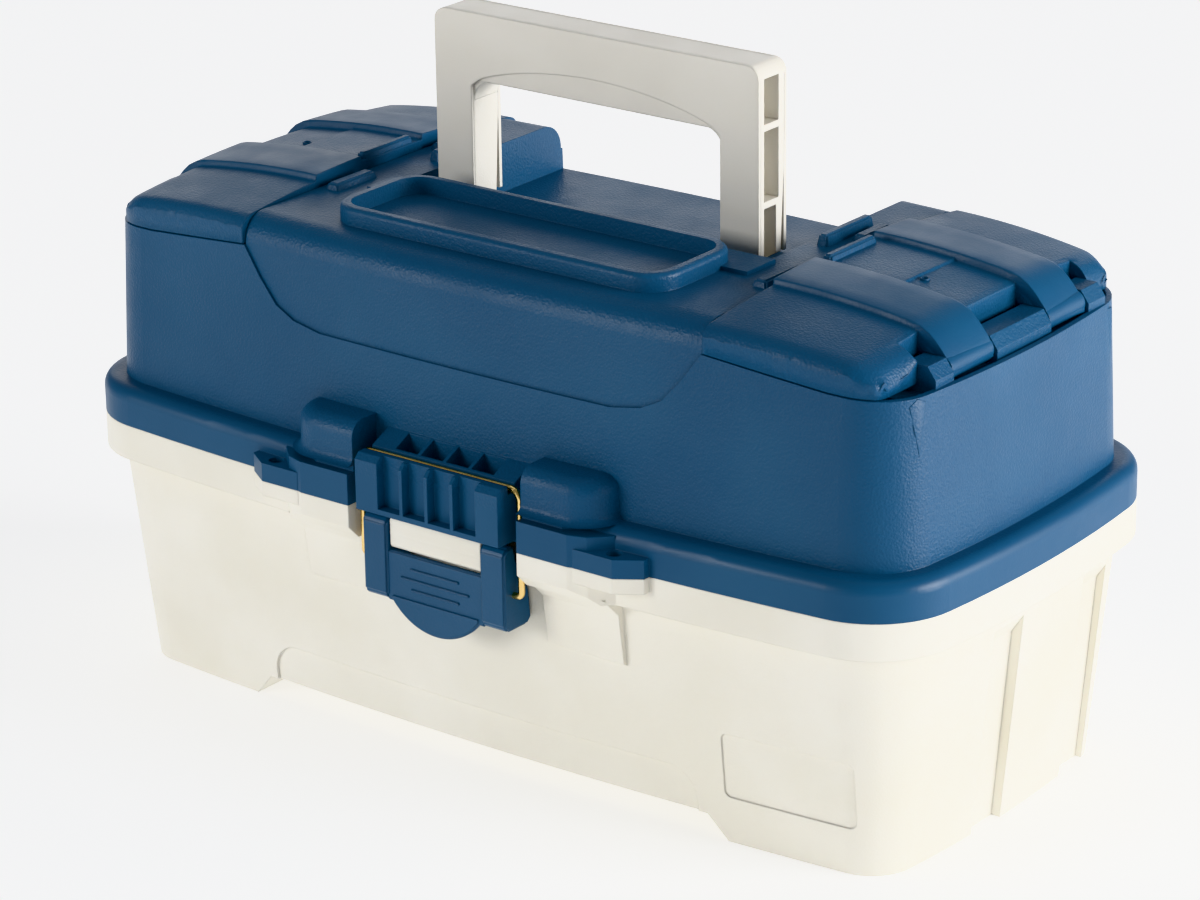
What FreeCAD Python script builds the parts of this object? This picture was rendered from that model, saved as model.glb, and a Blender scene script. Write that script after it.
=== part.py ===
import FreeCAD, Part
import Sketcher
import math
import os
from FreeCAD import Placement, Rotation, Vector

# A two-tray tackle box, closed, standing on its feet. X runs along the length, Y to the rear, Z up.
# The origin is the middle of the standing face.

SIZES = [
    # Main outline over the lip, bowed on all four sides
    ("half_length", 190.0),
    ("half_depth", 93.3),
    ("front_bow", 9.9),
    ("end_bow", 8.3),
    ("corner_radius", 33.0),
    ("seam_height", 99.9),
    # Common values
    ("wall", 2.2),
    ("rim_wall", 2.6),
    ("overrun", 6.0),
    ("face_gap", 0.2),
    ("move_gap", 0.5),
    ("running_fit", 0.08),
    ("tight_fit", 0.02),
    # Base
    ("lip_depth", 13.6),
    ("foot_inset", 15.7),
    ("head_inset", 6.8),
    ("foot_height", 9.0),
    ("floor_thickness", 2.5),
    ("recess_half", 100.7),
    ("foot_inner", 108.8),
    ("arch_half", 97.0),
    ("arch_height", 25.0),
    ("arch_depth", 1.0),
    ("arch_rounding", 12.0),
    ("plate_left", 108.6),
    ("plate_right", 160.5),
    ("plate_low", 18.0),
    ("plate_high", 43.0),
    ("plate_depth", 0.5),
    ("groove_front", 12.0),
    ("groove_rear", 47.0),
    ("groove_half", 9.0),
    ("groove_head", 79.0),
    ("groove_depth", 4.0),
    ("groove_slope", 7.0),
    # Lid
    ("flange_height", 14.4),
    ("flange_rounding", 5.0),
    ("lid_foot_inset", 8.5),
    ("lid_head_inset", 11.5),
    ("lid_top", 190.0),
    ("lid_rounding", 10.0),
    ("swoosh_depth", 0.9),
    ("swoosh_low", 153.6),
    ("swoosh_flat", 65.0),
    ("swoosh_bend", 86.0),
    ("swoosh_bend_height", 160.0),
    ("cover_edge", 101.5),
    ("cover_gap", 0.6),
    ("wall_top_inner", 179.2),
    ("wall_top_corner", 174.6),
    ("wall_top_end", 173.2),
    ("wall_top_bend", 150.0),
    ("bin_inner", 81.0),
    ("bin_floor", 149.0),
    ("recess_floor", 171.0),
    ("recess_front", 13.0),
    # Front top tray
    ("tray_top", 196.5),
    ("tray_half", 74.0),
    ("tray_front", 66.0),
    ("tray_rear", 17.0),
    ("tray_rim", 4.0),
    ("tray_corner", 13.0),
    ("tray_wing", 85.0),
    ("tray_wing_front", 30.0),
    ("tray_wing_top", 191.5),
    # Flares beside the latch and padlock tabs
    ("flare_inner", 38.0),
    ("flare_outer", 60.0),
    ("flare_end", 74.0),
    ("flare_front", 100.5),
    ("dome_outer", 67.0),
    ("dome_front", 97.0),
    ("dome_top", 128.0),
    ("dome_rounding", 7.0),
    ("pad_outer", 71.5),
    ("pad_low", 59.0),
    ("pad_proud", 1.8),
    ("pad_head", 80.0),
    ("tab_inner", 62.0),
    ("tab_outer", 88.0),
    ("tab_front", 100.0),
    ("tab_thickness", 7.0),
    ("tab_hole_place", 76.2),
    ("tab_hole_front", 94.8),
    ("tab_hole_radius", 2.8),
    # Latch
    ("latch_pivot_reach", 96.6),
    ("latch_pivot_height", 93.0),
    ("latch_pin_radius", 1.6),
    ("boss_half", 20.4),
    ("boss_front", 98.6),
    ("niche_half", 33.2),
    ("niche_reach", 88.0),
    ("lever_half", 32.0),
    ("post_inner", 21.0),
    ("post_front", 100.2),
    ("post_low", 67.5),
    ("post_top_gap", 0.9),
    ("panel_front", 99.0),
    ("panel_thickness", 2.2),
    ("panel_top", 86.7),
    ("tab_low", 55.0),
    ("grip_tab_half", 20.0),
    ("bail_reach", 94.9),
    ("bail_low", 80.8),
    ("bail_high", 120.5),
    ("bail_half", 35.5),
    ("bail_radius", 1.2),
    ("bail_bend", 4.0),
    ("catch_low", 101.0),
    ("catch_front", 103.0),
    ("catch_lip", 122.0),
    ("catch_post", 22.0),
    ("catch_rib", 1.5),
    ("catch_skin", 2.0),
    ("catch_rear_top", 126.5),
    # Rear hinges
    ("hinge_y", 98.5),
    ("hinge_z", 103.0),
    ("barrel_radius", 4.5),
    ("hinge_pin_radius", 2.0),
    ("hinge_middle", 92.0),
    ("knuckle_length", 14.0),
    ("knuckle_gap", 0.4),
    ("web_thickness", 7.0),
    # Tray linkage
    ("arm_rest_angle", 9.0),
    ("arm_base_z", 86.0),
    ("front_arm_y", 2.0),
    ("rear_arm_y", 55.0),
    ("lower_radius", 34.0),
    ("upper_radius", 62.0),
    ("arm_half_width", 4.0),
    ("arm_end_radius", 4.5),
    ("arm_inside", 167.0),
    ("arm_thickness", 2.0),
    ("link_gap", 1.6),
    ("rivet_radius", 2.0),
    ("rivet_head_radius", 3.8),
    ("rivet_head_height", 1.2),
    ("boss_radius", 5.0),
    # Inner trays
    ("lower_tray_half", 162.0),
    ("lower_tray_front", 74.0),
    ("lower_tray_rear", 46.0),
    ("lower_tray_low", 73.0),
    ("lower_tray_high", 100.0),
    ("upper_tray_half", 165.0),
    ("upper_tray_front", 71.0),
    ("upper_tray_rear", 50.0),
    ("upper_tray_low", 104.0),
    ("upper_tray_high", 132.0),
    ("inner_tray_wall", 1.8),
    ("inner_tray_corner", 8.0),
    ("divider_thickness", 1.4),
    ("lug_half_width", 6.0),
    # Handle
    ("handle_half", 72.0),
    ("handle_top", 255.7),
    ("handle_leg", 16.5),
    ("handle_under", 230.5),
    ("handle_pivot_y", 3.0),
    ("handle_pivot_z", 180.0),
    ("handle_before", 7.0),
    ("handle_behind_top", 8.0),
    ("handle_behind_low", 5.0),
    ("handle_rounding", 5.0),
    ("handle_skin", 2.4),
    ("handle_rib_high", 232.0),
    ("handle_rib_low", 204.0),
    ("handle_rib_thickness", 2.4),
    ("handle_stub_radius", 3.0),
    ("handle_stub_length", 6.0),
    ("ear_top", 186.5),
    ("ear_half_depth", 8.0),
    # Covers of the top bins
    ("cover_pivot_x", 170.0),
    ("cover_pivot_z", 176.5),
    ("cover_knuckle_radius", 4.5),
    ("cover_pin_radius", 2.2),
    ("cover_pin_reach", 6.0),
    ("cover_wall", 2.4),
    ("cover_top", 195.8),
    ("cover_fall_start", 118.0),
    ("cover_shoulder", 152.0),
    ("cover_shoulder_height", 192.0),
    ("cover_end", 168.4),
    ("cover_end_height", 184.0),
    ("cover_front_drop", 5.2),
    ("cover_crown_flat", 30.0),
    ("strap_height", 2.2),
    ("front_strap_start", -38.5),
    ("front_strap_end", -13.0),
    ("rear_strap_start", 22.0),
    ("rear_strap_end", 45.0),
    ("bracket_width", 11.0),
    ("bracket_inner", 163.5),
    ("bracket_outer", 175.5),
    ("bracket_top", 181.0),
    ("cover_side_gap", 0.5),
]


class Size:
    """A length that carries its value and the expression that gives it in the sheet."""

    def __init__(self, value, text):
        self.value = float(value)
        self.text = text

    def __add__(self, other):
        return Size(self.value + value_of(other), f"({self.text} + {text_of(other)})")

    def __radd__(self, other):
        return Size(value_of(other) + self.value, f"({text_of(other)} + {self.text})")

    def __sub__(self, other):
        return Size(self.value - value_of(other), f"({self.text} - {text_of(other)})")

    def __rsub__(self, other):
        return Size(value_of(other) - self.value, f"({text_of(other)} - {self.text})")

    def __mul__(self, other):
        return Size(self.value * value_of(other), f"({self.text} * {text_of(other)})")

    def __rmul__(self, other):
        return self * other

    def __truediv__(self, other):
        return Size(self.value / value_of(other), f"({self.text} / {text_of(other)})")

    def __neg__(self):
        return Size(-self.value, f"(0 - {self.text})")


def value_of(number):
    return number.value if isinstance(number, Size) else float(number)


def text_of(number):
    return number.text if isinstance(number, Size) else repr(float(number))


def root(size):
    return Size(math.sqrt(size.value), f"sqrt({size.text})")


def cosine(angle):
    return Size(math.cos(math.radians(angle.value)), f"cos({angle.text} * 1 deg)")


def sine(angle):
    return Size(math.sin(math.radians(angle.value)), f"sin({angle.text} * 1 deg)")


def bind(thing, name, size):
    """Set a property from a size, and keep it bound to the sheet."""
    if isinstance(size, Size):
        thing.setExpression(name, size.text)
    else:
        setattr(thing, name, size)


doc = FreeCAD.newDocument("TackleBox")
sheet = doc.addObject("Spreadsheet::Sheet", "sizes")
for row, (alias, amount) in enumerate(SIZES, start=1):
    sheet.set(f"A{row}", alias)
    sheet.set(f"B{row}", str(amount))
    sheet.setAlias(f"B{row}", alias)
doc.recompute()


class Sheet:
    """The sizes by name."""


S = Sheet()
for alias, amount in SIZES:
    setattr(S, alias, Size(amount, f"sizes.{alias}"))

# Radii and centres of the bowed outline, whose offsets share their centres
FRONT_RADIUS = (S.half_length * S.half_length + S.front_bow * S.front_bow) / (2 * S.front_bow)
END_RADIUS = (S.half_depth * S.half_depth + S.end_bow * S.end_bow) / (2 * S.end_bow)
FRONT_CENTRE = FRONT_RADIUS - S.half_depth
END_CENTRE = END_RADIUS - S.half_length
LIP_LOW = S.seam_height - S.lip_depth
FLANGE_TOP = S.seam_height + S.flange_height


def corner_centre():
    """Place of a corner arc's centre, as plain numbers."""
    front = Vector(0, FRONT_CENTRE.value, 0)
    end = Vector(-END_CENTRE.value, 0, 0)
    from_front = FRONT_RADIUS.value - S.corner_radius.value
    from_end = END_RADIUS.value - S.corner_radius.value
    span = end - front
    along = (from_front ** 2 - from_end ** 2 + span.Length ** 2) / (2 * span.Length)
    aside = math.sqrt(from_front ** 2 - along ** 2)
    direction = Vector(span).normalize()
    normal = Vector(-direction.y, direction.x, 0)
    centre = front + direction * along + normal * aside
    return abs(centre.x), abs(centre.y)


# Sketch shapes: each one adds closed geometry with its constraints to a sketch

def constrain(sketch, kind, *values):
    """Add one constraint. A size at the end is bound to the sheet."""
    last = values[-1]
    if isinstance(last, Size):
        index = sketch.addConstraint(Sketcher.Constraint(kind, *values[:-1], last.value))
        sketch.setExpression(f"Constraints[{index}]", last.text)
    else:
        sketch.addConstraint(Sketcher.Constraint(kind, *values))


def place_point(sketch, geometry, point, x, y):
    for kind, amount in (("DistanceX", x), ("DistanceY", y)):
        if isinstance(amount, Size):
            constrain(sketch, kind, -1, 1, geometry, point, amount)
        else:
            axis = -2 if kind == "DistanceX" else -1
            constrain(sketch, "PointOnObject", geometry, point, axis)


def poly(points):
    """A closed polygon. A coordinate is a size, or zero for a point on an axis."""
    def draw(sketch):
        spots = [Vector(value_of(x), value_of(y), 0) for x, y in points]
        edges = [Part.LineSegment(a, b) for a, b in zip(spots, spots[1:] + spots[:1])]
        first = sketch.addGeometry(edges, False)[0]
        for number, (x, y) in enumerate(points):
            following = (number + 1) % len(points)
            constrain(sketch, "Coincident", first + number, 2, first + following, 1)
        for number, (x, y) in enumerate(points):
            place_point(sketch, first + number, 1, x, y)
    return draw


def box(x_low, x_high, y_low, y_high):
    return poly([(x_low, y_low), (x_high, y_low), (x_high, y_high), (x_low, y_high)])


def disc(x, y, radius):
    def draw(sketch):
        circle = Part.Circle(Vector(value_of(x), value_of(y), 0), Vector(0, 0, 1), radius.value)
        index = sketch.addGeometry(circle, False)
        place_point(sketch, index, 3, x, y)
        constrain(sketch, "Radius", index, radius)
    return draw


def arc(x, y, radius, start, end):
    circle = Part.Circle(Vector(x, y, 0), Vector(0, 0, 1), radius)
    return Part.ArcOfCircle(circle, math.radians(start), math.radians(end))


def rounded(x_low, x_high, y_low, y_high, radius):
    """A rectangle with four equal round corners."""
    def draw(sketch):
        low_x, high_x, low_y, high_y = [value_of(one) for one in (x_low, x_high, y_low, y_high)]
        r = radius.value
        spots = [
            (high_x - r, low_y + r, 270, x_high - radius, y_low + radius),
            (high_x - r, high_y - r, 0, x_high - radius, y_high - radius),
            (low_x + r, high_y - r, 90, x_low + radius, y_high - radius),
            (low_x + r, low_y + r, 180, x_low + radius, y_low + radius),
        ]
        arcs = [arc(x, y, r, start, start + 90) for x, y, start, _, _ in spots]
        first = sketch.addGeometry(arcs, False)[0]
        for number in range(4):
            following = (number + 1) % 4
            line = sketch.addGeometry(
                Part.LineSegment(arcs[number].EndPoint, arcs[following].StartPoint), False)
            constrain(sketch, "Tangent", first + number, 2, line, 1)
            constrain(sketch, "Tangent", line, 2, first + following, 1)
        for number, (_, _, _, x, y) in enumerate(spots):
            place_point(sketch, first + number, 3, x, y)
            constrain(sketch, "Radius", first + number, radius)
    return draw


def outline(inset):
    """The whole bowed outline, drawn in by an inset."""
    def draw(sketch):
        corner_x, corner_y = corner_centre()
        front_centre = FRONT_CENTRE.value
        end_centre = END_CENTRE.value
        lean = math.degrees(math.atan2(corner_x, corner_y + front_centre))
        tilt = math.degrees(math.atan2(corner_y, corner_x + end_centre))
        front = value_of(FRONT_RADIUS - inset)
        end = value_of(END_RADIUS - inset)
        corner = value_of(S.corner_radius - inset)
        arcs = [
            arc(0, front_centre, front, 270 - lean, 270 + lean),
            arc(corner_x, -corner_y, corner, 270 + lean, 360 - tilt),
            arc(-end_centre, 0, end, -tilt, tilt),
            arc(corner_x, corner_y, corner, tilt, 90 - lean),
            arc(0, -front_centre, front, 90 - lean, 90 + lean),
            arc(-corner_x, corner_y, corner, 90 + lean, 180 - tilt),
            arc(end_centre, 0, end, 180 - tilt, 180 + tilt),
            arc(-corner_x, -corner_y, corner, 180 + tilt, 270 - lean),
        ]
        first = sketch.addGeometry(arcs, False)[0]
        for number in range(8):
            constrain(sketch, "Tangent", first + number, 2, first + (number + 1) % 8, 1)
        place_point(sketch, first, 3, 0, FRONT_CENTRE)
        place_point(sketch, first + 4, 3, 0, -FRONT_CENTRE)
        place_point(sketch, first + 2, 3, -END_CENTRE, 0)
        place_point(sketch, first + 6, 3, END_CENTRE, 0)
        constrain(sketch, "Radius", first, FRONT_RADIUS - inset)
        constrain(sketch, "Radius", first + 2, END_RADIUS - inset)
        constrain(sketch, "Radius", first + 1, S.corner_radius - inset)
        constrain(sketch, "Equal", first, first + 4)
        constrain(sketch, "Equal", first + 2, first + 6)
        for number in (3, 5, 7):
            constrain(sketch, "Equal", first + 1, first + number)
    return draw


def middle(inset, half_width):
    """The part of the outline within a half width, cut straight at both sides."""
    def draw(sketch):
        radius = value_of(FRONT_RADIUS - inset)
        side = math.degrees(math.asin(value_of(half_width) / radius))
        centre = FRONT_CENTRE.value
        front = arc(0, centre, radius, 270 - side, 270 + side)
        back = arc(0, -centre, radius, 90 - side, 90 + side)
        right = Part.LineSegment(front.EndPoint, back.StartPoint)
        left = Part.LineSegment(back.EndPoint, front.StartPoint)
        first = sketch.addGeometry([front, right, back, left], False)[0]
        for number in range(4):
            constrain(sketch, "Coincident", first + number, 2, first + (number + 1) % 4, 1)
        place_point(sketch, first, 3, 0, FRONT_CENTRE)
        place_point(sketch, first + 2, 3, 0, -FRONT_CENTRE)
        for number in (0, 2):
            constrain(sketch, "Radius", first + number, FRONT_RADIUS - inset)
        for point in (1, 2):
            constrain(sketch, "DistanceX", -1, 1, first + 1, point, half_width)
            constrain(sketch, "DistanceX", -1, 1, first + 3, point, -half_width)
    return draw


def end_part(inset, start, side):
    """The end of the outline beyond a straight cut at a start distance, on one side."""
    def draw(sketch):
        corner_x, corner_y = corner_centre()
        front_centre = FRONT_CENTRE.value
        end_centre = END_CENTRE.value
        lean = math.degrees(math.atan2(corner_x, corner_y + front_centre))
        tilt = math.degrees(math.atan2(corner_y, corner_x + end_centre))
        front = value_of(FRONT_RADIUS - inset)
        end = value_of(END_RADIUS - inset)
        corner = value_of(S.corner_radius - inset)
        cut = math.degrees(math.asin(value_of(start) / front))
        if side > 0:
            arcs = [
                arc(0, front_centre, front, 270 + cut, 270 + lean),
                arc(corner_x, -corner_y, corner, 270 + lean, 360 - tilt),
                arc(-end_centre, 0, end, -tilt, tilt),
                arc(corner_x, corner_y, corner, tilt, 90 - lean),
                arc(0, -front_centre, front, 90 - lean, 90 - cut),
            ]
        else:
            arcs = [
                arc(0, -front_centre, front, 90 + cut, 90 + lean),
                arc(-corner_x, corner_y, corner, 90 + lean, 180 - tilt),
                arc(end_centre, 0, end, 180 - tilt, 180 + tilt),
                arc(-corner_x, -corner_y, corner, 180 + tilt, 270 - lean),
                arc(0, front_centre, front, 270 - lean, 270 - cut),
            ]
        first = sketch.addGeometry(arcs, False)[0]
        line = sketch.addGeometry(Part.LineSegment(arcs[-1].EndPoint, arcs[0].StartPoint), False)
        for number in range(4):
            constrain(sketch, "Tangent", first + number, 2, first + number + 1, 1)
        constrain(sketch, "Coincident", first + 4, 2, line, 1)
        constrain(sketch, "Coincident", line, 2, first, 1)
        place_point(sketch, first, 3, 0, FRONT_CENTRE * side)
        place_point(sketch, first + 4, 3, 0, FRONT_CENTRE * -side)
        place_point(sketch, first + 2, 3, END_CENTRE * -side, 0)
        radii = (FRONT_RADIUS, S.corner_radius, END_RADIUS, S.corner_radius, FRONT_RADIUS)
        for number, radius in enumerate(radii):
            constrain(sketch, "Radius", first + number, radius - inset)
        for point in (1, 2):
            constrain(sketch, "DistanceX", -1, 1, line, point, start * side)
    return draw


# Bodies and features

def new_body(label):
    body = doc.addObject("PartDesign::Body", label)
    body.Label = label
    return body


def new_sketch(body, name, plane, level, shapes):
    """A sketch on one of the body's own planes, moved to a level along that plane's axis."""
    sketch = body.newObject("Sketcher::SketchObject", name)
    wanted = plane + "_Plane"
    support = [one for one in body.Origin.OriginFeatures if one.Role == wanted][0]
    sketch.AttachmentSupport = [(support, "")]
    sketch.MapMode = "FlatFace"
    if isinstance(level, Size):
        shift = -level if plane == "XZ" else level
        sketch.setExpression("AttachmentOffset.Base.z", shift.text)
    for draw in shapes:
        draw(sketch)
    return sketch


def volume_of(body):
    shape = body.Tip.Shape if body.Tip else None
    return shape.Volume if shape and not shape.isNull() else 0.0


def settle(body, feature, before, adds):
    """Recompute, and make sure that the feature changed the solid the right way."""
    doc.recompute()
    after = feature.Shape.Volume
    grown = after > before
    if abs(after - before) < 1e-6 * max(after, 1.0) or grown != adds:
        raise RuntimeError(f"{body.Label}: {feature.Name} does not do its work")
    return feature


def prism(body, name, plane, shapes, low, high, cut=False):
    """Pad or pocket closed shapes between two levels along the plane's axis."""
    before = volume_of(body)
    shapes = shapes if isinstance(shapes, list) else [shapes]
    starts_high = (plane == "XZ") != cut
    level = high if starts_high else low
    sketch = new_sketch(body, name + "_sketch", plane, level, shapes)
    feature = body.newObject("PartDesign::Pocket" if cut else "PartDesign::Pad", name)
    feature.Profile = sketch
    bind(feature, "Length", high - low)
    return settle(body, feature, before, not cut)


def taper(body, name, lower, low, upper, high, cut=False):
    """Loft between two shapes at two heights."""
    before = volume_of(body)
    bottom = new_sketch(body, name + "_low", "XY", low, [lower])
    top = new_sketch(body, name + "_high", "XY", high, [upper])
    kind = "PartDesign::SubtractiveLoft" if cut else "PartDesign::AdditiveLoft"
    feature = body.newObject(kind, name)
    feature.Profile = bottom
    feature.Sections = [top]
    feature.Ruled = True
    return settle(body, feature, before, not cut)


def edges_where(shape, test):
    """Names of the edges whose sampled points all pass a test."""
    names = []
    for number, edge in enumerate(shape.Edges, start=1):
        first, last = edge.ParameterRange
        points = [edge.valueAt(first + (last - first) * share) for share in (0.0, 0.3, 0.5, 0.7, 1.0)]
        if all(test(point) for point in points):
            names.append(f"Edge{number}")
    return names


def near(amount, size, reach=0.05):
    return abs(amount - value_of(size)) < reach


def dress(body, kind, name, size, test):
    """Fillet or chamfer the edges that pass a test."""
    base = body.Tip
    names = edges_where(base.Shape, test)
    if not names:
        raise RuntimeError(f"{body.Label}: {name} finds no edge")
    feature = body.newObject("PartDesign::" + kind, name)
    feature.Base = (base, names)
    bind(feature, "Radius" if kind == "Fillet" else "Size", size)
    doc.recompute()
    return feature


def merge(body, other, name, cut=False):
    """Add a helper body to this one, or cut it away."""
    before = volume_of(body)
    feature = body.newObject("PartDesign::Boolean", name)
    feature.Type = "Cut" if cut else "Fuse"
    feature.setObjects([other])
    return settle(body, feature, before, not cut)


def mirrored_boxes(x_low, x_high, y_low, y_high):
    """The same rectangle on both sides of the middle."""
    return [box(x_low, x_high, y_low, y_high), box(-x_high, -x_low, y_low, y_high)]


def both_sides(points):
    """The same polygon on both sides of the middle."""
    return [poly([(x * side, y) for x, y in points]) for side in (1, -1)]


def between(start, end, share):
    return start + (end - start) * share


# Places along the walls

def base_inset(height):
    """Inset of the base's outer wall at a height."""
    return S.foot_inset - (S.foot_inset - S.head_inset) * height / LIP_LOW


def lid_inset(height):
    """Inset of the lid's outer wall at a height."""
    rise = (S.lid_head_inset - S.lid_foot_inset) / (S.lid_top - FLANGE_TOP)
    return S.lid_foot_inset + (height - FLANGE_TOP) * rise


def front_bow_at(place):
    return place * place / (2 * FRONT_RADIUS)


def end_bow_at(place):
    return place * place / (2 * END_RADIUS)


def direction(radius, sign_y):
    """Offset of a pivot at a radius along an arm at rest, forward or upward."""
    if sign_y:
        return -radius * cosine(S.arm_rest_angle)
    return radius * sine(S.arm_rest_angle)


ARM_ROOTS = {"front": -S.front_arm_y, "rear": S.rear_arm_y}
LOWER_PIVOT_Z = S.arm_base_z + direction(S.lower_radius, False)
UPPER_PIVOT_Z = S.arm_base_z + direction(S.upper_radius, False)
LOWER_PIVOTS = [root_y + direction(S.lower_radius, True) for root_y in ARM_ROOTS.values()]
UPPER_PIVOTS = [root_y + direction(S.upper_radius, True) for root_y in ARM_ROOTS.values()]
LINK_LID_Y = S.hinge_y + direction(S.upper_radius, True)
LINK_LID_Z = S.hinge_z + direction(S.upper_radius, False)
ARM_OUTSIDE = S.arm_inside + S.arm_thickness
LINK_INSIDE = ARM_OUTSIDE + S.link_gap
LINK_OUTSIDE = LINK_INSIDE + S.arm_thickness
INNER_BORE = S.rivet_radius + S.running_fit


def knuckle_spans():
    """Spans along X of a hinge's three knuckles, on the right side."""
    half = S.knuckle_length / 2
    inner = S.hinge_middle - half
    outer = S.hinge_middle + half
    return {
        "inner": (inner - S.knuckle_gap - S.knuckle_length, inner - S.knuckle_gap),
        "middle": (inner, outer),
        "outer": (outer + S.knuckle_gap, outer + S.knuckle_gap + S.knuckle_length),
    }


def mirrored_prism(body, name, shapes, low, high, cut=False):
    """The same prism along X on both sides."""
    prism(body, name + "_right", "YZ", shapes, low, high, cut)
    prism(body, name + "_left", "YZ", shapes, -high, -low, cut)


def wall_x(height, place):
    """Outer face of the base's end wall at a height and a place along Y."""
    return S.half_length - base_inset(height) - end_bow_at(place)


def lid_wall_x(height, place):
    """Outer face of the lid's end wall at a height and a place along Y."""
    return S.half_length - lid_inset(height) - end_bow_at(place)


WALL_ZONE = S.corner_radius
FRONT_OUT = -S.half_depth - S.overrun
FRONT_IN = -S.half_depth + WALL_ZONE
FLOOR_TOP = S.foot_height + S.floor_thickness
LIP_WALL_Y = S.half_depth - front_bow_at(S.hinge_middle) - S.rim_wall * 0.8
CEILING = S.bin_floor - S.wall


def add_knuckles(body, cutters, spans, upward):
    """Hinge knuckles with their webs, on both sides, bored for the pin."""
    if upward:
        near_seam = S.seam_height + S.move_gap
        far = S.hinge_z + S.barrel_radius + S.web_thickness / 2
        outer_z = S.hinge_z + S.barrel_radius
    else:
        near_seam = S.seam_height - S.move_gap
        far = S.seam_height - S.web_thickness - S.rim_wall
        outer_z = S.hinge_z - S.barrel_radius
    web = poly([
        (LIP_WALL_Y, near_seam),
        (LIP_WALL_Y, far),
        (S.hinge_y, outer_z),
        (S.hinge_y, S.hinge_z),
        (S.hinge_y - S.barrel_radius * 0.9, near_seam),
    ])
    barrel = disc(S.hinge_y, S.hinge_z, S.barrel_radius)
    bore = disc(S.hinge_y, S.hinge_z, S.hinge_pin_radius + S.running_fit)
    for name in spans:
        low, high = knuckle_spans()[name]
        mirrored_prism(body, f"{name}_web", web, low, high)
        mirrored_prism(body, f"{name}_barrel", barrel, low, high)
    low = knuckle_spans()["inner"][0] - S.overrun
    high = knuckle_spans()["outer"][1] + S.overrun
    mirrored_prism(cutters, "pin_bore", bore, low, high)


def build_base():
    tub = new_body("base_tub")
    # Tapered wall with a shallow arched panel and a bare plate recess in front
    taper(tub, "wall", outline(S.foot_inset), 0, outline(S.head_inset), LIP_LOW)
    prism(tub, "arch", "XZ", rounded(-S.arch_half, S.arch_half, -S.arch_rounding * 2, S.arch_height,
                                     S.arch_rounding), FRONT_OUT, FRONT_IN, cut=True)
    taper(tub, "arch_panel", middle(S.foot_inset + S.arch_depth, S.arch_half), 0,
          middle(base_inset(S.arch_height) + S.arch_depth, S.arch_half), S.arch_height)
    prism(tub, "plate", "XZ", rounded(S.plate_left, S.plate_right, S.plate_low, S.plate_high,
                                      S.rim_wall), FRONT_OUT, FRONT_IN, cut=True)
    taper(tub, "plate_panel",
          end_part(base_inset(S.plate_low) + S.plate_depth, S.plate_left, 1), S.plate_low,
          end_part(base_inset(S.plate_high) + S.plate_depth, S.plate_left, 1), S.plate_high)
    prism(tub, "lip", "XY", outline(0), LIP_LOW, S.seam_height)
    add_flare_bases(tub)
    # Inside: cavity, wells in the feet, and the hollow lip
    taper(tub, "cavity", outline(base_inset(FLOOR_TOP) + S.wall), FLOOR_TOP,
          outline(S.head_inset + S.wall), LIP_LOW + S.rim_wall, cut=True)
    prism(tub, "lip_cavity", "XY", outline(S.rim_wall), LIP_LOW + S.rim_wall,
          S.seam_height + S.overrun, cut=True)
    for side in (1, -1):
        well = end_part(base_inset(FLOOR_TOP) + S.wall + S.rim_wall, S.foot_inner + S.rim_wall, side)
        prism(tub, f"foot_well_{side + 1}", "XY", well, S.floor_thickness, FLOOR_TOP + S.wall, cut=True)
    prism(tub, "foot_arch", "XZ", poly([
        (-S.foot_inner - S.overrun, -S.overrun), (S.foot_inner + S.overrun, -S.overrun),
        (S.foot_inner, 0), (S.recess_half, S.foot_height),
        (-S.recess_half, S.foot_height), (-S.foot_inner, 0),
    ]), FRONT_OUT, -FRONT_OUT, cut=True)
    fittings = new_body("base_fittings")
    cutters = new_body("base_cutters")
    add_end_grooves(fittings, cutters)
    add_latch_seat(fittings, cutters)
    add_knuckles(fittings, cutters, ("inner", "outer"), upward=False)
    # Bosses for the tray arms
    for label, place in ARM_ROOTS.items():
        face = ARM_OUTSIDE + S.face_gap
        mirrored_prism(fittings, f"{label}_boss", disc(place, S.arm_base_z, S.boss_radius), face,
                       wall_x(S.arm_base_z, place) - S.wall / 2)
        mirrored_prism(cutters, f"{label}_bore", disc(place, S.arm_base_z, S.rivet_radius + S.tight_fit),
                       face - S.overrun, face + S.boss_radius)
    merge(tub, fittings, "fittings")
    merge(tub, cutters, "bores", cut=True)
    return tub


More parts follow.
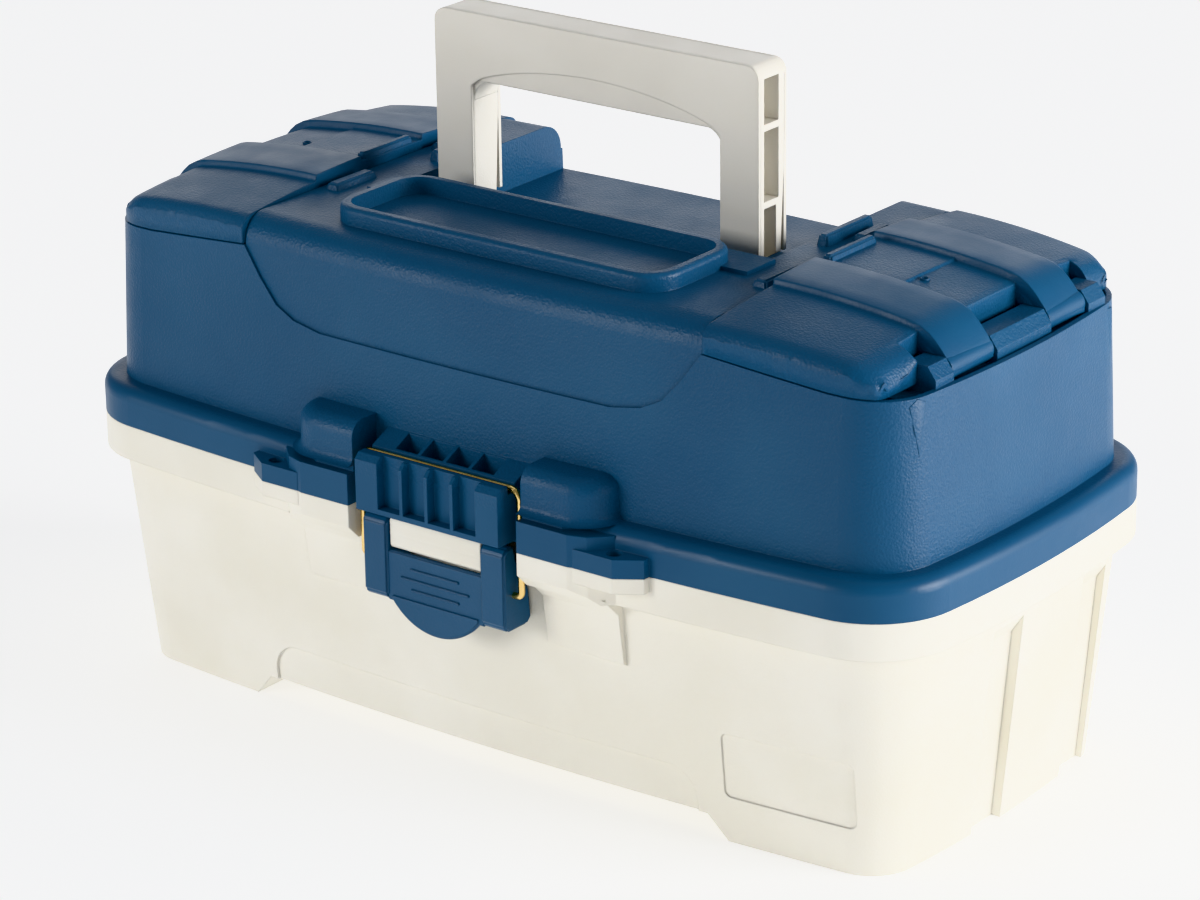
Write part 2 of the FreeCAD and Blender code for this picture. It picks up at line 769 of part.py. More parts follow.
def add_flare_bases(tub):
    """Thick parts of the lip beside the latch, their pads, and the lower padlock tabs."""
    skin = S.half_depth - S.rim_wall / 2
    plan = [
        (S.flare_inner, -skin), (S.flare_inner, -S.flare_front), (S.flare_outer, -S.flare_front),
        (between(S.flare_outer, S.flare_end, 0.5), -between(S.flare_front, S.half_depth, 0.3)),
        (S.flare_end, -(S.half_depth - front_bow_at(S.flare_end))),
        (S.flare_end, -(skin - front_bow_at(S.flare_end))),
    ]
    prism(tub, "flare", "XY", both_sides(plan), LIP_LOW, S.seam_height)
    dress(tub, "Chamfer", "flare_slope", S.rim_wall * 2,
          lambda p: near(p.z, LIP_LOW) and near(p.y, -S.flare_front))
    half_wall = S.wall / 2
    low_y = S.half_depth - base_inset(S.pad_low) - front_bow_at(S.pad_outer)
    head_y = S.half_depth - S.head_inset - front_bow_at(S.pad_outer)
    pad = poly([
        (-(low_y - half_wall), S.pad_low), (-(low_y + S.pad_proud), S.pad_low + S.pad_proud),
        (-(head_y + S.pad_proud), S.pad_head), (-S.half_depth - S.pad_proud, LIP_LOW + S.pad_proud),
        (-(head_y - half_wall), LIP_LOW + S.pad_proud),
    ])
    mirrored_prism(tub, "pad", pad, S.flare_inner, S.pad_outer)
    prism(tub, "tab", "XY", both_sides(tab_plan(skin)), S.seam_height - S.tab_thickness * 0.8,
          S.seam_height)
    prism(tub, "tab_holes", "XY", tab_holes(), LIP_LOW - S.overrun, S.seam_height + S.overrun, cut=True)


def tab_plan(skin):
    """Plan of a padlock tab on the right side."""
    outer_skin = skin - front_bow_at(S.tab_outer)
    return [
        (S.tab_inner, -outer_skin), (S.tab_inner, -S.tab_front),
        (between(S.tab_inner, S.tab_outer, 0.65), -S.tab_front),
        (S.tab_outer, -between(S.half_depth, S.tab_front, 0.1)), (S.tab_outer, -outer_skin),
    ]


def tab_holes():
    return [disc(S.tab_hole_place * side, -S.tab_hole_front, S.tab_hole_radius) for side in (1, -1)]


def add_end_grooves(fittings, cutters):
    """Two upright grooves in each end wall, with the wall carried round behind them."""
    half_wall = S.wall / 2
    head = S.groove_head
    for label, place in (("front", -S.groove_front), ("rear", S.groove_rear)):
        for side in (1, -1):
            behind = [
                (wall_x(FLOOR_TOP, place) - half_wall, FLOOR_TOP - half_wall),
                (wall_x(head, place) - half_wall, head + S.wall * 2),
                (wall_x(head, place) - S.wall, head + S.wall * 2),
                (wall_x(head - S.groove_slope, place) - S.groove_depth - S.wall,
                 head - S.groove_slope + S.wall),
                (wall_x(FLOOR_TOP, place) - S.groove_depth - S.wall, FLOOR_TOP - half_wall),
            ]
            groove = [
                (S.half_length, -S.overrun), (S.half_length, head),
                (wall_x(head, place), head),
                (wall_x(head - S.groove_slope, place) - S.groove_depth, head - S.groove_slope),
                (wall_x(0 * head, place) - S.groove_depth, -S.overrun),
            ]
            name = f"groove_{label}_{side + 1}"
            low = place - S.groove_half
            high = place + S.groove_half
            prism(fittings, name + "_back", "XZ", poly([(x * side, z) for x, z in behind]),
                  low - S.wall, high + S.wall)
            prism(cutters, name, "XZ", poly([(x * side, z) for x, z in groove]), low, high)


def add_latch_seat(fittings, cutters):
    """Boss that carries the latch pin, with the niche in the lip for the lever's posts."""
    back = S.head_inset - S.half_depth + S.wall / 2
    boss_low = S.panel_top + S.move_gap
    prism(fittings, "niche_back", "XY", box(-S.niche_half - S.wall, S.niche_half + S.wall,
                                       -S.niche_reach - S.wall, back + S.wall / 2),
          LIP_LOW - S.wall, S.seam_height)
    prism(cutters, "niche", "XY", mirrored_boxes(S.boss_half + S.move_gap, S.niche_half, FRONT_OUT,
                                                 -S.niche_reach),
          LIP_LOW - S.overrun, S.seam_height + S.overrun)
    prism(fittings, "latch_boss", "XY", box(-S.boss_half, S.boss_half, -S.boss_front, back),
          boss_low, S.seam_height - S.face_gap)
    dress(fittings, "Fillet", "latch_boss_edge", S.wall, lambda p: near(p.y, -S.boss_front)
          and (near(p.z, boss_low) or near(p.z, S.seam_height - S.face_gap)))
    prism(cutters, "latch_bore", "YZ", disc(-S.latch_pivot_reach, S.latch_pivot_height,
                                            S.latch_pin_radius + S.tight_fit),
          -S.boss_half - S.overrun, S.boss_half + S.overrun)


def build_lid():
    lid = new_body("lid_shell")
    # Flange, wall, and the middle panel set back inside its step line
    prism(lid, "flange", "XY", outline(0), S.seam_height, FLANGE_TOP)
    dress(lid, "Fillet", "flange_round", S.flange_rounding, lambda p: near(p.z, FLANGE_TOP))
    taper(lid, "wall", outline(S.lid_foot_inset), FLANGE_TOP,
          outline(lid_inset(S.wall_top_inner)), S.wall_top_inner)
    wall_tops = [
        (S.cover_edge, S.wall_top_inner), (S.wall_top_bend, S.wall_top_corner),
        (S.half_length, S.wall_top_end), (S.half_length, S.lid_top), (S.cover_edge, S.lid_top),
    ]
    prism(lid, "wall_tops", "XZ", both_sides(wall_tops), FRONT_OUT, -FRONT_OUT, cut=True)
    swoosh = [
        (S.swoosh_flat, S.swoosh_low),
        (between(S.swoosh_flat, S.swoosh_bend, 0.6), between(S.swoosh_low, S.swoosh_bend_height, 0.35)),
        (S.swoosh_bend, S.swoosh_bend_height),
        (between(S.swoosh_bend, S.cover_edge, 0.5),
         between(S.swoosh_bend_height, S.wall_top_inner, 0.45)),
        (S.cover_edge, S.wall_top_inner),
    ]
    left = [(-x, z) for x, z in reversed(swoosh)]
    prism(lid, "swoosh", "XZ", poly(left + swoosh), FRONT_OUT, FRONT_IN, cut=True)
    taper(lid, "panel", middle(S.lid_foot_inset + S.swoosh_depth, S.cover_edge), FLANGE_TOP,
          middle(S.lid_head_inset + S.swoosh_depth, S.cover_edge), S.lid_top)
    dress(lid, "Fillet", "top_round", S.lid_rounding,
          lambda p: near(p.z, S.lid_top) and abs(p.x) < S.cover_edge.value + 1 and
          abs(p.y) > S.tray_front.value)
    add_front_tray(lid)
    outer = new_body("lid_outer_parts")
    add_lid_flares(outer)
    add_catch(outer)
    merge(lid, outer, "outer_parts")
    # Hollows from below
    prism(lid, "flange_cavity", "XY", outline(S.rim_wall), S.seam_height,
          FLANGE_TOP - S.rim_wall, cut=True)
    taper(lid, "cavity", outline(S.lid_foot_inset + S.wall), S.seam_height,
          outline(lid_inset(CEILING) + S.wall), CEILING, cut=True)
    inner = S.wall + S.swoosh_depth
    under = S.recess_floor - S.wall
    taper(lid, "middle_cavity", middle(lid_inset(CEILING) + inner, S.bin_inner - S.wall),
          CEILING - S.wall, middle(lid_inset(under) + inner, S.bin_inner - S.wall), under, cut=True)
    front = -(S.half_depth - S.lid_head_inset - inner - front_bow_at(S.bin_inner))
    prism(lid, "front_cavity", "YZ", poly([
        (front, under - S.wall), (front, S.lid_top - S.lid_rounding),
        (front + S.lid_rounding * 0.3, S.lid_top - S.lid_rounding * 0.45),
        (front + S.lid_rounding * 0.9, S.lid_top - S.wall),
        (-S.recess_front - S.wall, S.lid_top - S.wall), (-S.recess_front - S.wall, under - S.wall),
    ]), -S.bin_inner + S.wall, S.bin_inner - S.wall, cut=True)
    depth = S.half_depth - S.lid_head_inset - S.lid_rounding
    prism(lid, "strip_cavity", "XY", mirrored_boxes(S.bin_inner + S.wall, S.cover_edge - S.wall,
                                                    -depth, depth),
          CEILING - S.wall, S.lid_top - S.wall, cut=True)
    # Handle recess and the two top bins
    prism(lid, "handle_recess", "XY", box(-S.bin_inner, S.bin_inner, -S.recess_front, -FRONT_OUT),
          S.recess_floor, S.lid_top + S.overrun, cut=True)
    fittings = new_body("lid_fittings")
    cutters = new_body("lid_cutters")
    for side in (1, -1):
        bin_shape = end_part(lid_inset(S.bin_floor) + S.wall + S.swoosh_depth, S.cover_edge, side)
        prism(lid, f"bin_{side + 1}", "XY", bin_shape, S.bin_floor, S.lid_top + S.overrun, cut=True)
        add_cover_seat(fittings, cutters, side)
    add_handle_ears(fittings, cutters)
    add_knuckles(fittings, cutters, ("middle",), upward=True)
    boss = disc(LINK_LID_Y, LINK_LID_Z, S.boss_radius)
    face = LINK_OUTSIDE + S.face_gap
    mirrored_prism(fittings, "link_boss", boss, face,
                   lid_wall_x(LINK_LID_Z, LINK_LID_Y) - S.wall / 2)
    mirrored_prism(cutters, "link_bore", disc(LINK_LID_Y, LINK_LID_Z, S.rivet_radius + S.tight_fit),
                   face - S.overrun, face + S.boss_radius)
    prism(cutters, "tab_holes", "XY", tab_holes(), S.seam_height - S.overrun, FLANGE_TOP + S.overrun)
    merge(lid, fittings, "fittings")
    merge(lid, cutters, "bores", cut=True)
    return lid


def add_front_tray(lid):
    """Raised rim of the front top tray, with its wings towards the handle."""
    prism(lid, "tray_wings", "XY", mirrored_boxes(
        S.tray_half - S.tray_corner * 2, S.tray_wing, -S.tray_wing_front, -S.recess_front),
        S.lid_top - S.wall, S.tray_wing_top)
    prism(lid, "tray_rim", "XY", rounded(-S.tray_half, S.tray_half, -S.tray_front, -S.tray_rear,
                                         S.tray_corner), S.lid_top - S.wall, S.tray_top)
    dress(lid, "Fillet", "tray_round", S.tray_rim / 2, lambda p: near(p.z, S.tray_top))
    prism(lid, "tray_pocket", "XY", rounded(
        -S.tray_half + S.tray_rim, S.tray_half - S.tray_rim, -S.tray_front + S.tray_rim,
        -S.tray_rear - S.tray_rim, S.tray_corner - S.tray_rim), S.lid_top, S.tray_top + S.overrun,
        cut=True)


def add_lid_flares(outer):
    """Thick parts of the flange beside the latch, their domes, and the padlock tabs."""
    skin = S.half_depth - S.rim_wall / 2
    end_skin = skin - front_bow_at(S.flare_end)
    plan = [
        (S.flare_inner, -skin), (S.flare_inner, -S.flare_front), (S.flare_outer, -S.flare_front),
        (between(S.flare_outer, S.flare_end, 0.5), -between(S.flare_front, S.half_depth, 0.3)),
        (S.flare_end, -(S.half_depth - front_bow_at(S.flare_end))), (S.flare_end, -end_skin),
    ]
    prism(outer, "flare", "XY", both_sides(plan), S.seam_height, FLANGE_TOP - S.rim_wall)
    wall_y = S.half_depth - S.lid_foot_inset - S.wall / 2 - front_bow_at(S.dome_outer)
    dome = [
        (S.flare_inner, -wall_y), (S.flare_inner, -S.dome_front),
        (between(S.flare_inner, S.dome_outer, 0.6), -S.dome_front),
        (between(S.flare_inner, S.dome_outer, 0.9), -between(wall_y, S.dome_front, 0.6)),
        (S.dome_outer, -wall_y),
    ]
    prism(outer, "dome", "XY", both_sides(dome), FLANGE_TOP - S.rim_wall * 2, S.dome_top)
    dress(outer, "Fillet", "dome_round", S.dome_rounding, lambda p: near(p.z, S.dome_top)
          and near(p.y, -S.dome_front))
    prism(outer, "tab", "XY", both_sides(tab_plan(skin)), S.seam_height, S.seam_height + S.tab_thickness)


def add_catch(outer):
    """Ribbed block that the bail hooks over, with sloped ribs behind it."""
    skin = S.half_depth - S.lid_foot_inset - S.wall / 2
    slot_front = S.bail_reach + S.bail_radius + S.move_gap * 2
    slot_rear = S.bail_reach - S.bail_radius - S.move_gap
    slot_floor = S.bail_high - S.bail_radius - S.move_gap
    block = poly([
        (-skin, S.catch_low), (-S.catch_front, S.catch_low),
        (-S.catch_front, S.catch_lip - S.wall), (-S.catch_front + S.wall, S.catch_lip),
        (-slot_front, S.catch_lip), (-slot_front, slot_floor), (-slot_rear, slot_floor),
        (-slot_rear, S.catch_lip), (-skin, S.catch_rear_top),
    ])
    prism(outer, "catch", "YZ", block, -S.lever_half, S.lever_half)
    cell = (S.catch_post * 2 - S.catch_rib * 3) / 4
    starts = [-S.catch_post + (cell + S.catch_rib) * number for number in range(4)]
    front_cells = [box(start, start + cell, S.catch_low + S.catch_skin, S.catch_lip + S.wall)
                   for start in starts]
    prism(outer, "catch_cells", "XZ", front_cells, -S.catch_front - S.wall, -slot_front - S.catch_skin,
          cut=True)
    rear_cells = [box(start, start + cell, -slot_rear + S.catch_skin / 2, -skin - S.wall / 2)
                  for start in starts]
    prism(outer, "catch_rear_cells", "XY", rear_cells, slot_floor - S.catch_skin,
          S.catch_rear_top + S.wall, cut=True)


def bracket_spans():
    """Spans along Y of the three brackets at a cover's hinge."""
    return {
        "front": (S.front_strap_start - S.cover_side_gap - S.bracket_width,
                  S.front_strap_start - S.cover_side_gap),
        "centre": (S.front_strap_end + S.cover_side_gap, S.rear_strap_start - S.cover_side_gap),
        "rear": (S.rear_strap_end + S.cover_side_gap,
                 S.rear_strap_end + S.cover_side_gap + S.bracket_width),
    }


def add_cover_seat(fittings, cutters, side):
    """Shelf at the outer end of a bin, with the brackets that hold the cover's pins."""
    shelf_top = S.cover_pivot_z - S.cover_knuckle_radius - S.cover_side_gap
    wall_inside = lid_wall_x(S.bin_floor, S.rear_strap_end + S.bracket_width) - S.wall / 2
    inner = S.bracket_inner
    shelf = [(inner, S.bin_floor - S.wall / 2), (wall_inside, S.bin_floor - S.wall / 2),
             (wall_inside, shelf_top), (inner, shelf_top)]
    reach = S.half_depth - WALL_ZONE
    prism(fittings, f"shelf_{side + 1}", "XZ", poly([(x * side, z) for x, z in shelf]), -reach, reach)
    bracket = [
        (inner, shelf_top - S.wall), (S.bracket_outer, shelf_top - S.wall),
        (S.bracket_outer, S.cover_pivot_z), (S.cover_pivot_x + S.cover_pin_radius, S.bracket_top),
        (inner, S.bracket_top),
    ]
    for name, (low, high) in bracket_spans().items():
        prism(fittings, f"bracket_{name}_{side + 1}", "XZ", poly([(x * side, z) for x, z in bracket]),
              low, high)
    bore = disc(S.cover_pivot_x * side, S.cover_pivot_z, S.cover_pin_radius + S.running_fit)
    for name, (start, end) in strap_spans().items():
        prism(cutters, f"cover_bore_{name}_{side + 1}", "XZ", bore,
              start - S.cover_pin_reach - S.face_gap, end + S.cover_pin_reach + S.face_gap)


def strap_spans():
    return {
        "front": (S.front_strap_start, S.front_strap_end),
        "rear": (S.rear_strap_start, S.rear_strap_end),
    }


def add_handle_ears(fittings, cutters):
    """Ears beside the handle's legs, bored for its stubs."""
    ear = box(S.handle_pivot_y - S.ear_half_depth, S.handle_pivot_y + S.ear_half_depth,
              S.recess_floor - S.wall / 2, S.ear_top)
    mirrored_prism(fittings, "ear", ear, S.handle_half + S.move_gap, S.bin_inner + S.wall / 2)
    dress(fittings, "Fillet", "ear_round", S.handle_rounding, lambda p: near(p.z, S.ear_top)
          and (near(p.y, S.handle_pivot_y - S.ear_half_depth)
               or near(p.y, S.handle_pivot_y + S.ear_half_depth)))
    mirrored_prism(cutters, "ear_bore", disc(S.handle_pivot_y, S.handle_pivot_z,
                                             S.handle_stub_radius + S.running_fit),
                   S.handle_half, S.handle_half + S.handle_stub_length + S.move_gap)


def cover_top_line(drop):
    """Points of a cover's top along X, lowered by a drop."""
    return [
        (S.cover_edge, S.cover_top - drop), (S.cover_fall_start, S.cover_top - drop),
        (S.cover_shoulder, S.cover_shoulder_height - drop),
        (between(S.cover_shoulder, S.cover_end, 0.65),
         between(S.cover_shoulder_height, S.cover_end_height, 0.4) - drop),
        (S.cover_end + S.wall, S.cover_end_height - drop - S.wall),
    ]


def build_cover(label, side):
    cover = new_body(label)
    inset = lid_inset(S.wall_top_corner)
    start = S.cover_edge + S.cover_gap
    low = S.wall_top_end
    prism(cover, "plan", "XY", end_part(inset, start, side), low, S.cover_top)
    far = S.half_length + S.overrun
    high = S.cover_top + S.overrun

    def flip(points):
        return poly([(x * side, z) for x, z in points])

    def across(name, points, y_low, y_high):
        prism(cover, name, "XZ", flip(points), y_low, y_high, cut=True)

    end = S.cover_end
    across("outer_end", [(end, low - S.overrun), (far, low - S.overrun), (far, high), (end, high)],
           FRONT_OUT, -FRONT_OUT)
    above = [(far, S.cover_end_height - S.wall * 4), (far, high), (S.cover_edge - S.overrun, high),
             (S.cover_edge - S.overrun, S.cover_top)]
    across("top", cover_top_line(0)[1:] + above, FRONT_OUT, -FRONT_OUT)
    panel_above = above[:3] + [(S.cover_edge - S.overrun, S.cover_top - S.strap_height)]
    panels = {
        "front_panel": (FRONT_OUT, S.front_strap_start),
        "middle_panel": (S.front_strap_end, S.rear_strap_start),
        "rear_panel": (S.rear_strap_end, -FRONT_OUT),
    }
    for name, (y_low, y_high) in panels.items():
        across(name, cover_top_line(S.strap_height)[1:] + panel_above, y_low, y_high)
    # Crown towards the front and the rear
    edge = S.half_depth - inset
    for name, sign in (("front_crown", -1), ("rear_crown", 1)):
        crown = poly([
            (S.cover_crown_flat * sign, high), (S.cover_crown_flat * sign, S.cover_top),
            (edge * sign, S.cover_top - S.cover_front_drop),
            ((edge + S.overrun) * sign, S.cover_top - S.cover_front_drop - S.wall),
            ((edge + S.overrun) * sign, high),
        ])
        x_low, x_high = (S.cover_edge, far) if side > 0 else (-far, -S.cover_edge)
        prism(cover, name, "YZ", crown, x_low, x_high, cut=True)
    # Lower edge follows the lid's wall tops
    gap = S.cover_gap
    across("lower_edge", [
        (S.cover_edge, S.wall_top_inner + gap), (S.wall_top_bend, S.wall_top_corner + gap),
        (far, S.wall_top_end + gap), (far, low - S.overrun), (S.cover_edge, low - S.overrun),
    ], FRONT_OUT, -FRONT_OUT)
    add_cover_hollow(cover, across, start, low)
    add_cover_hinge(cover, flip, across, side)
    return cover


def add_cover_hollow(cover, across, start, low):
    """Hollow below a cover, lower towards the front and the rear."""
    skin = S.strap_height + S.cover_wall
    inner_end = S.cover_end - S.cover_wall * 2
    depths = {
        "hollow": (skin, S.front_strap_start, S.rear_strap_end),
        "edge_hollow": (skin + S.cover_front_drop, -(S.half_depth - S.lid_head_inset - S.cover_wall
                        - front_bow_at(S.wall_top_bend)), S.half_depth - S.lid_head_inset
                        - S.cover_wall - front_bow_at(S.wall_top_bend)),
    }
    for name, (drop, y_low, y_high) in depths.items():
        corner = S.wall_top_bend if name == "edge_hollow" else inner_end
        ceiling = S.cover_shoulder_height - drop
        across(name, [
            (start + S.cover_wall, low - S.overrun), (start + S.cover_wall, S.cover_top - drop),
            (S.cover_fall_start, S.cover_top - drop), (S.wall_top_bend, ceiling),
            (corner, between(ceiling, S.cover_end_height - drop, 0.7)), (corner, low - S.overrun),
        ] if name == "hollow" else [
            (start + S.cover_wall, low - S.overrun), (start + S.cover_wall, S.cover_top - drop),
            (S.cover_fall_start, S.cover_top - drop), (corner, ceiling), (corner, low - S.overrun),
        ], y_low, y_high)


def add_cover_hinge(cover, flip, across, side):
    """Room for the brackets, and the strap ends with their knuckles and pins."""
    clear = S.bracket_inner - S.wall - S.cover_side_gap
    far = S.half_length
    for name, (y_low, y_high) in bracket_spans().items():
        across(f"room_{name}", [
            (clear, S.wall_top_end - S.overrun), (far, S.wall_top_end - S.overrun),
            (far, S.lid_top), (clear, S.lid_top),
        ], y_low - S.cover_side_gap, y_high + S.cover_side_gap)
    knuckle = disc(S.cover_pivot_x * side, S.cover_pivot_z, S.cover_knuckle_radius)
    pin = disc(S.cover_pivot_x * side, S.cover_pivot_z, S.cover_pin_radius)
    lean = S.cover_knuckle_radius * 0.7
    neck = flip([
        (clear - S.cover_wall, S.cover_pivot_z), (S.cover_pivot_x, S.cover_pivot_z),
        (S.cover_pivot_x + lean, S.cover_pivot_z + lean),
        (S.cover_end, S.cover_end_height), (clear - S.cover_wall, S.cover_end_height),
    ])
    for name, (y_low, y_high) in strap_spans().items():
        prism(cover, f"neck_{name}", "XZ", neck, y_low, y_high)
        prism(cover, f"knuckle_{name}", "XZ", knuckle, y_low, y_high)
        prism(cover, f"pin_{name}", "XZ", pin, y_low - S.cover_pin_reach, y_high + S.cover_pin_reach)


def build_handle():
    handle = new_body("handle")
    before = S.handle_pivot_y - S.handle_before
    behind = S.handle_pivot_y + S.handle_behind_top
    foot = S.handle_pivot_z - S.handle_before
    inner = S.handle_half - S.handle_leg
    prism(handle, "bar", "XZ", poly([
        (-S.handle_half, foot), (-inner, foot), (-inner, S.handle_under), (inner, S.handle_under),
        (inner, foot), (S.handle_half, foot), (S.handle_half, S.handle_top),
        (-S.handle_half, S.handle_top),
    ]), before, behind)
    dress(handle, "Fillet", "shoulders", S.handle_rounding,
          lambda p: near(p.z, S.handle_top) and near(abs(p.x), S.handle_half))
    # Legs taper towards the pivot and end round below it
    low_behind = S.handle_pivot_y + S.handle_behind_low
    prism(handle, "leg_taper", "YZ", poly([
        (low_behind, foot - S.overrun), (low_behind, S.handle_pivot_z),
        (behind, S.handle_under), (behind + S.overrun, S.handle_under),
        (behind + S.overrun, foot - S.overrun),
    ]), -S.handle_half - S.overrun, S.handle_half + S.overrun, cut=True)
    dress(handle, "Fillet", "leg_feet", S.handle_behind_low,
          lambda p: near(p.z, foot) and (near(p.y, before) or near(p.y, low_behind)))
    skin = S.handle_skin
    cells = [(foot + skin * 4, S.handle_rib_low), (S.handle_rib_low + S.handle_rib_thickness,
             S.handle_rib_high), (S.handle_rib_high + S.handle_rib_thickness, S.handle_top - skin * 2)]
    low = S.handle_half - S.handle_leg + skin
    for number, (cell_low, cell_high) in enumerate(cells):
        rear = low_behind if number == 0 else between(low_behind, behind, 0.5)
        cell = box(before + skin, rear - skin, cell_low, cell_high)
        mirrored_prism(handle, f"cell_{number}", cell, low, S.handle_half + S.overrun, cut=True)
    stub = disc(S.handle_pivot_y, S.handle_pivot_z, S.handle_stub_radius)
    mirrored_prism(handle, "stub", stub, S.handle_half - S.handle_leg / 2,
                   S.handle_half + S.handle_stub_length)
    return handle


def build_lever():
    lever = new_body("latch_lever")
    top = S.seam_height - S.post_top_gap
    pivot_y = -S.latch_pivot_reach
    # Two posts with side walls reaching back to the bail's hooks
    reach_low = S.half_depth - base_inset(S.post_low) + S.move_gap
    reach_high = S.half_depth - base_inset(S.bail_low) + S.move_gap
    post = poly([
        (-S.post_front, S.post_low + S.wall), (-S.post_front, top - S.wall),
        (-S.post_front + S.wall, top), (pivot_y + S.wall, top),
        (pivot_y + S.wall + S.latch_pin_radius, S.latch_pivot_height),
        (-reach_high, S.bail_low), (-reach_low, S.post_low + S.wall),
        (-reach_low - S.wall, S.post_low), (-S.post_front + S.wall, S.post_low),
    ])
    mirrored_prism(lever, "post", post, S.post_inner, S.lever_half)
    hollow = poly([
        (-S.panel_front + S.panel_thickness, S.post_low + S.wall),
        (-S.panel_front + S.panel_thickness, S.bail_low - S.wall * 1.5),
        (-reach_low + S.overrun, S.bail_low - S.wall * 1.5), (-reach_low + S.overrun, S.post_low + S.wall),
    ])
    mirrored_prism(lever, "post_hollow", hollow, S.post_inner + S.wall, S.lever_half - S.wall, cut=True)
    # Panel between the posts, with the finger tab below
    prism(lever, "panel", "XZ", box(-S.post_inner - S.wall, S.post_inner + S.wall, S.post_low,
                                    S.panel_top), -S.panel_front, -S.panel_front + S.panel_thickness)
    tab_mid = (S.post_low + S.tab_low) / 2
    prism(lever, "finger_tab", "XZ", poly([
        (-S.grip_tab_half, S.post_low + S.wall), (-S.grip_tab_half, tab_mid),
        (-S.grip_tab_half * 0.45, S.tab_low), (S.grip_tab_half * 0.45, S.tab_low),
        (S.grip_tab_half, tab_mid), (S.grip_tab_half, S.post_low + S.wall),
    ]), -S.panel_front - S.wall, -S.panel_front + S.panel_thickness)
    rib_half = S.wall / 4
    middle_z = (S.post_low + S.panel_top) / 2
    ribs = [box(-S.grip_tab_half * 0.75, S.grip_tab_half * 0.75,
                middle_z + S.wall * 2 * step - rib_half, middle_z + S.wall * 2 * step + rib_half)
            for step in (-1, 0, 1)]
    prism(lever, "grip_lines", "XZ", ribs, -S.panel_front - rib_half, -S.panel_front + rib_half)
    dress(lever, "Fillet", "finger_edge", S.wall, lambda p: near(abs(p.x), S.grip_tab_half)
          and p.z < S.post_low.value)
    pivot = disc(pivot_y, S.latch_pivot_height, S.latch_pin_radius + S.running_fit)
    reach = S.lever_half + S.overrun
    prism(lever, "pivot_bore", "YZ", pivot, -reach, reach, cut=True)
    bail_hole = disc(-S.bail_reach, S.bail_low, S.bail_radius + S.running_fit)
    prism(lever, "bail_bore", "YZ", bail_hole, -reach, reach, cut=True)
    return lever


def build_latch_pin():
    pin = new_body("latch_pin")
    prism(pin, "pin", "YZ", disc(-S.latch_pivot_reach, S.latch_pivot_height, S.latch_pin_radius),
          -S.lever_half + S.face_gap, S.lever_half - S.face_gap)
    return pin


def build_bail():
    """Wire that runs up both sides of the latch and over the catch, hooked into the lever."""
    bail = new_body("bail_wire")
    half = S.bail_half
    bend = S.bail_bend
    hook = S.post_inner + S.wall + S.bail_radius
    path = bail.newObject("Sketcher::SketchObject", "path")
    support = [one for one in bail.Origin.OriginFeatures if one.Role == "XZ_Plane"][0]
    path.AttachmentSupport = [(support, "")]
    path.MapMode = "FlatFace"
    path.setExpression("AttachmentOffset.Base.z", S.bail_reach.text)
    low_bend = bend / 2
    spots = [
        (hook, S.bail_low), (half - low_bend, S.bail_low), (half, S.bail_low + low_bend),
        (half, S.bail_high - bend), (half - bend, S.bail_high),
    ]
    centres = [(half - low_bend, S.bail_low + low_bend), (half - bend, S.bail_high - bend)]
    right = [Vector(x.value, z.value, 0) for x, z in spots]
    left = [Vector(-one.x, one.y, 0) for one in right]
    edges = [
        Part.LineSegment(right[0], right[1]),
        arc(centres[0][0].value, centres[0][1].value, low_bend.value, 270, 360),
        Part.LineSegment(right[2], right[3]),
        arc(centres[1][0].value, centres[1][1].value, bend.value, 0, 90),
        Part.LineSegment(right[4], left[4]),
        arc(-centres[1][0].value, centres[1][1].value, bend.value, 90, 180),
        Part.LineSegment(left[3], left[2]),
        arc(-centres[0][0].value, centres[0][1].value, low_bend.value, 180, 270),
        Part.LineSegment(left[1], left[0]),
    ]
    first = path.addGeometry(edges, False)[0]
    for number in range(8):
        constrain(path, "Tangent", first + number, 2, first + number + 1, 1)
    place_point(path, first, 1, *spots[0])
    place_point(path, first + 8, 2, -hook, S.bail_low)
    place_point(path, first + 1, 3, *centres[0])
    place_point(path, first + 3, 3, *centres[1])
    place_point(path, first + 5, 3, -centres[1][0], centres[1][1])
    place_point(path, first + 7, 3, -centres[0][0], centres[0][1])
    constrain(path, "Radius", first + 1, low_bend)
    constrain(path, "Radius", first + 3, bend)
    profile = new_sketch(bail, "section", "YZ", hook, [disc(-S.bail_reach, S.bail_low, S.bail_radius)])
    doc.recompute()
    pipe = bail.newObject("PartDesign::AdditivePipe", "wire")
    pipe.Profile = profile
    pipe.Spine = (path, [])
    pipe.Mode = "Frenet"
    settle(bail, pipe, 0.0, True)
    return bail


def build_hinge_pin(label, side):
    pin = new_body(label)
    low = knuckle_spans()["inner"][0]
    high = knuckle_spans()["outer"][1]
    low, high = (low, high) if side > 0 else (-high, -low)
    prism(pin, "pin", "YZ", disc(S.hinge_y, S.hinge_z, S.hinge_pin_radius), low, high)
    return pin


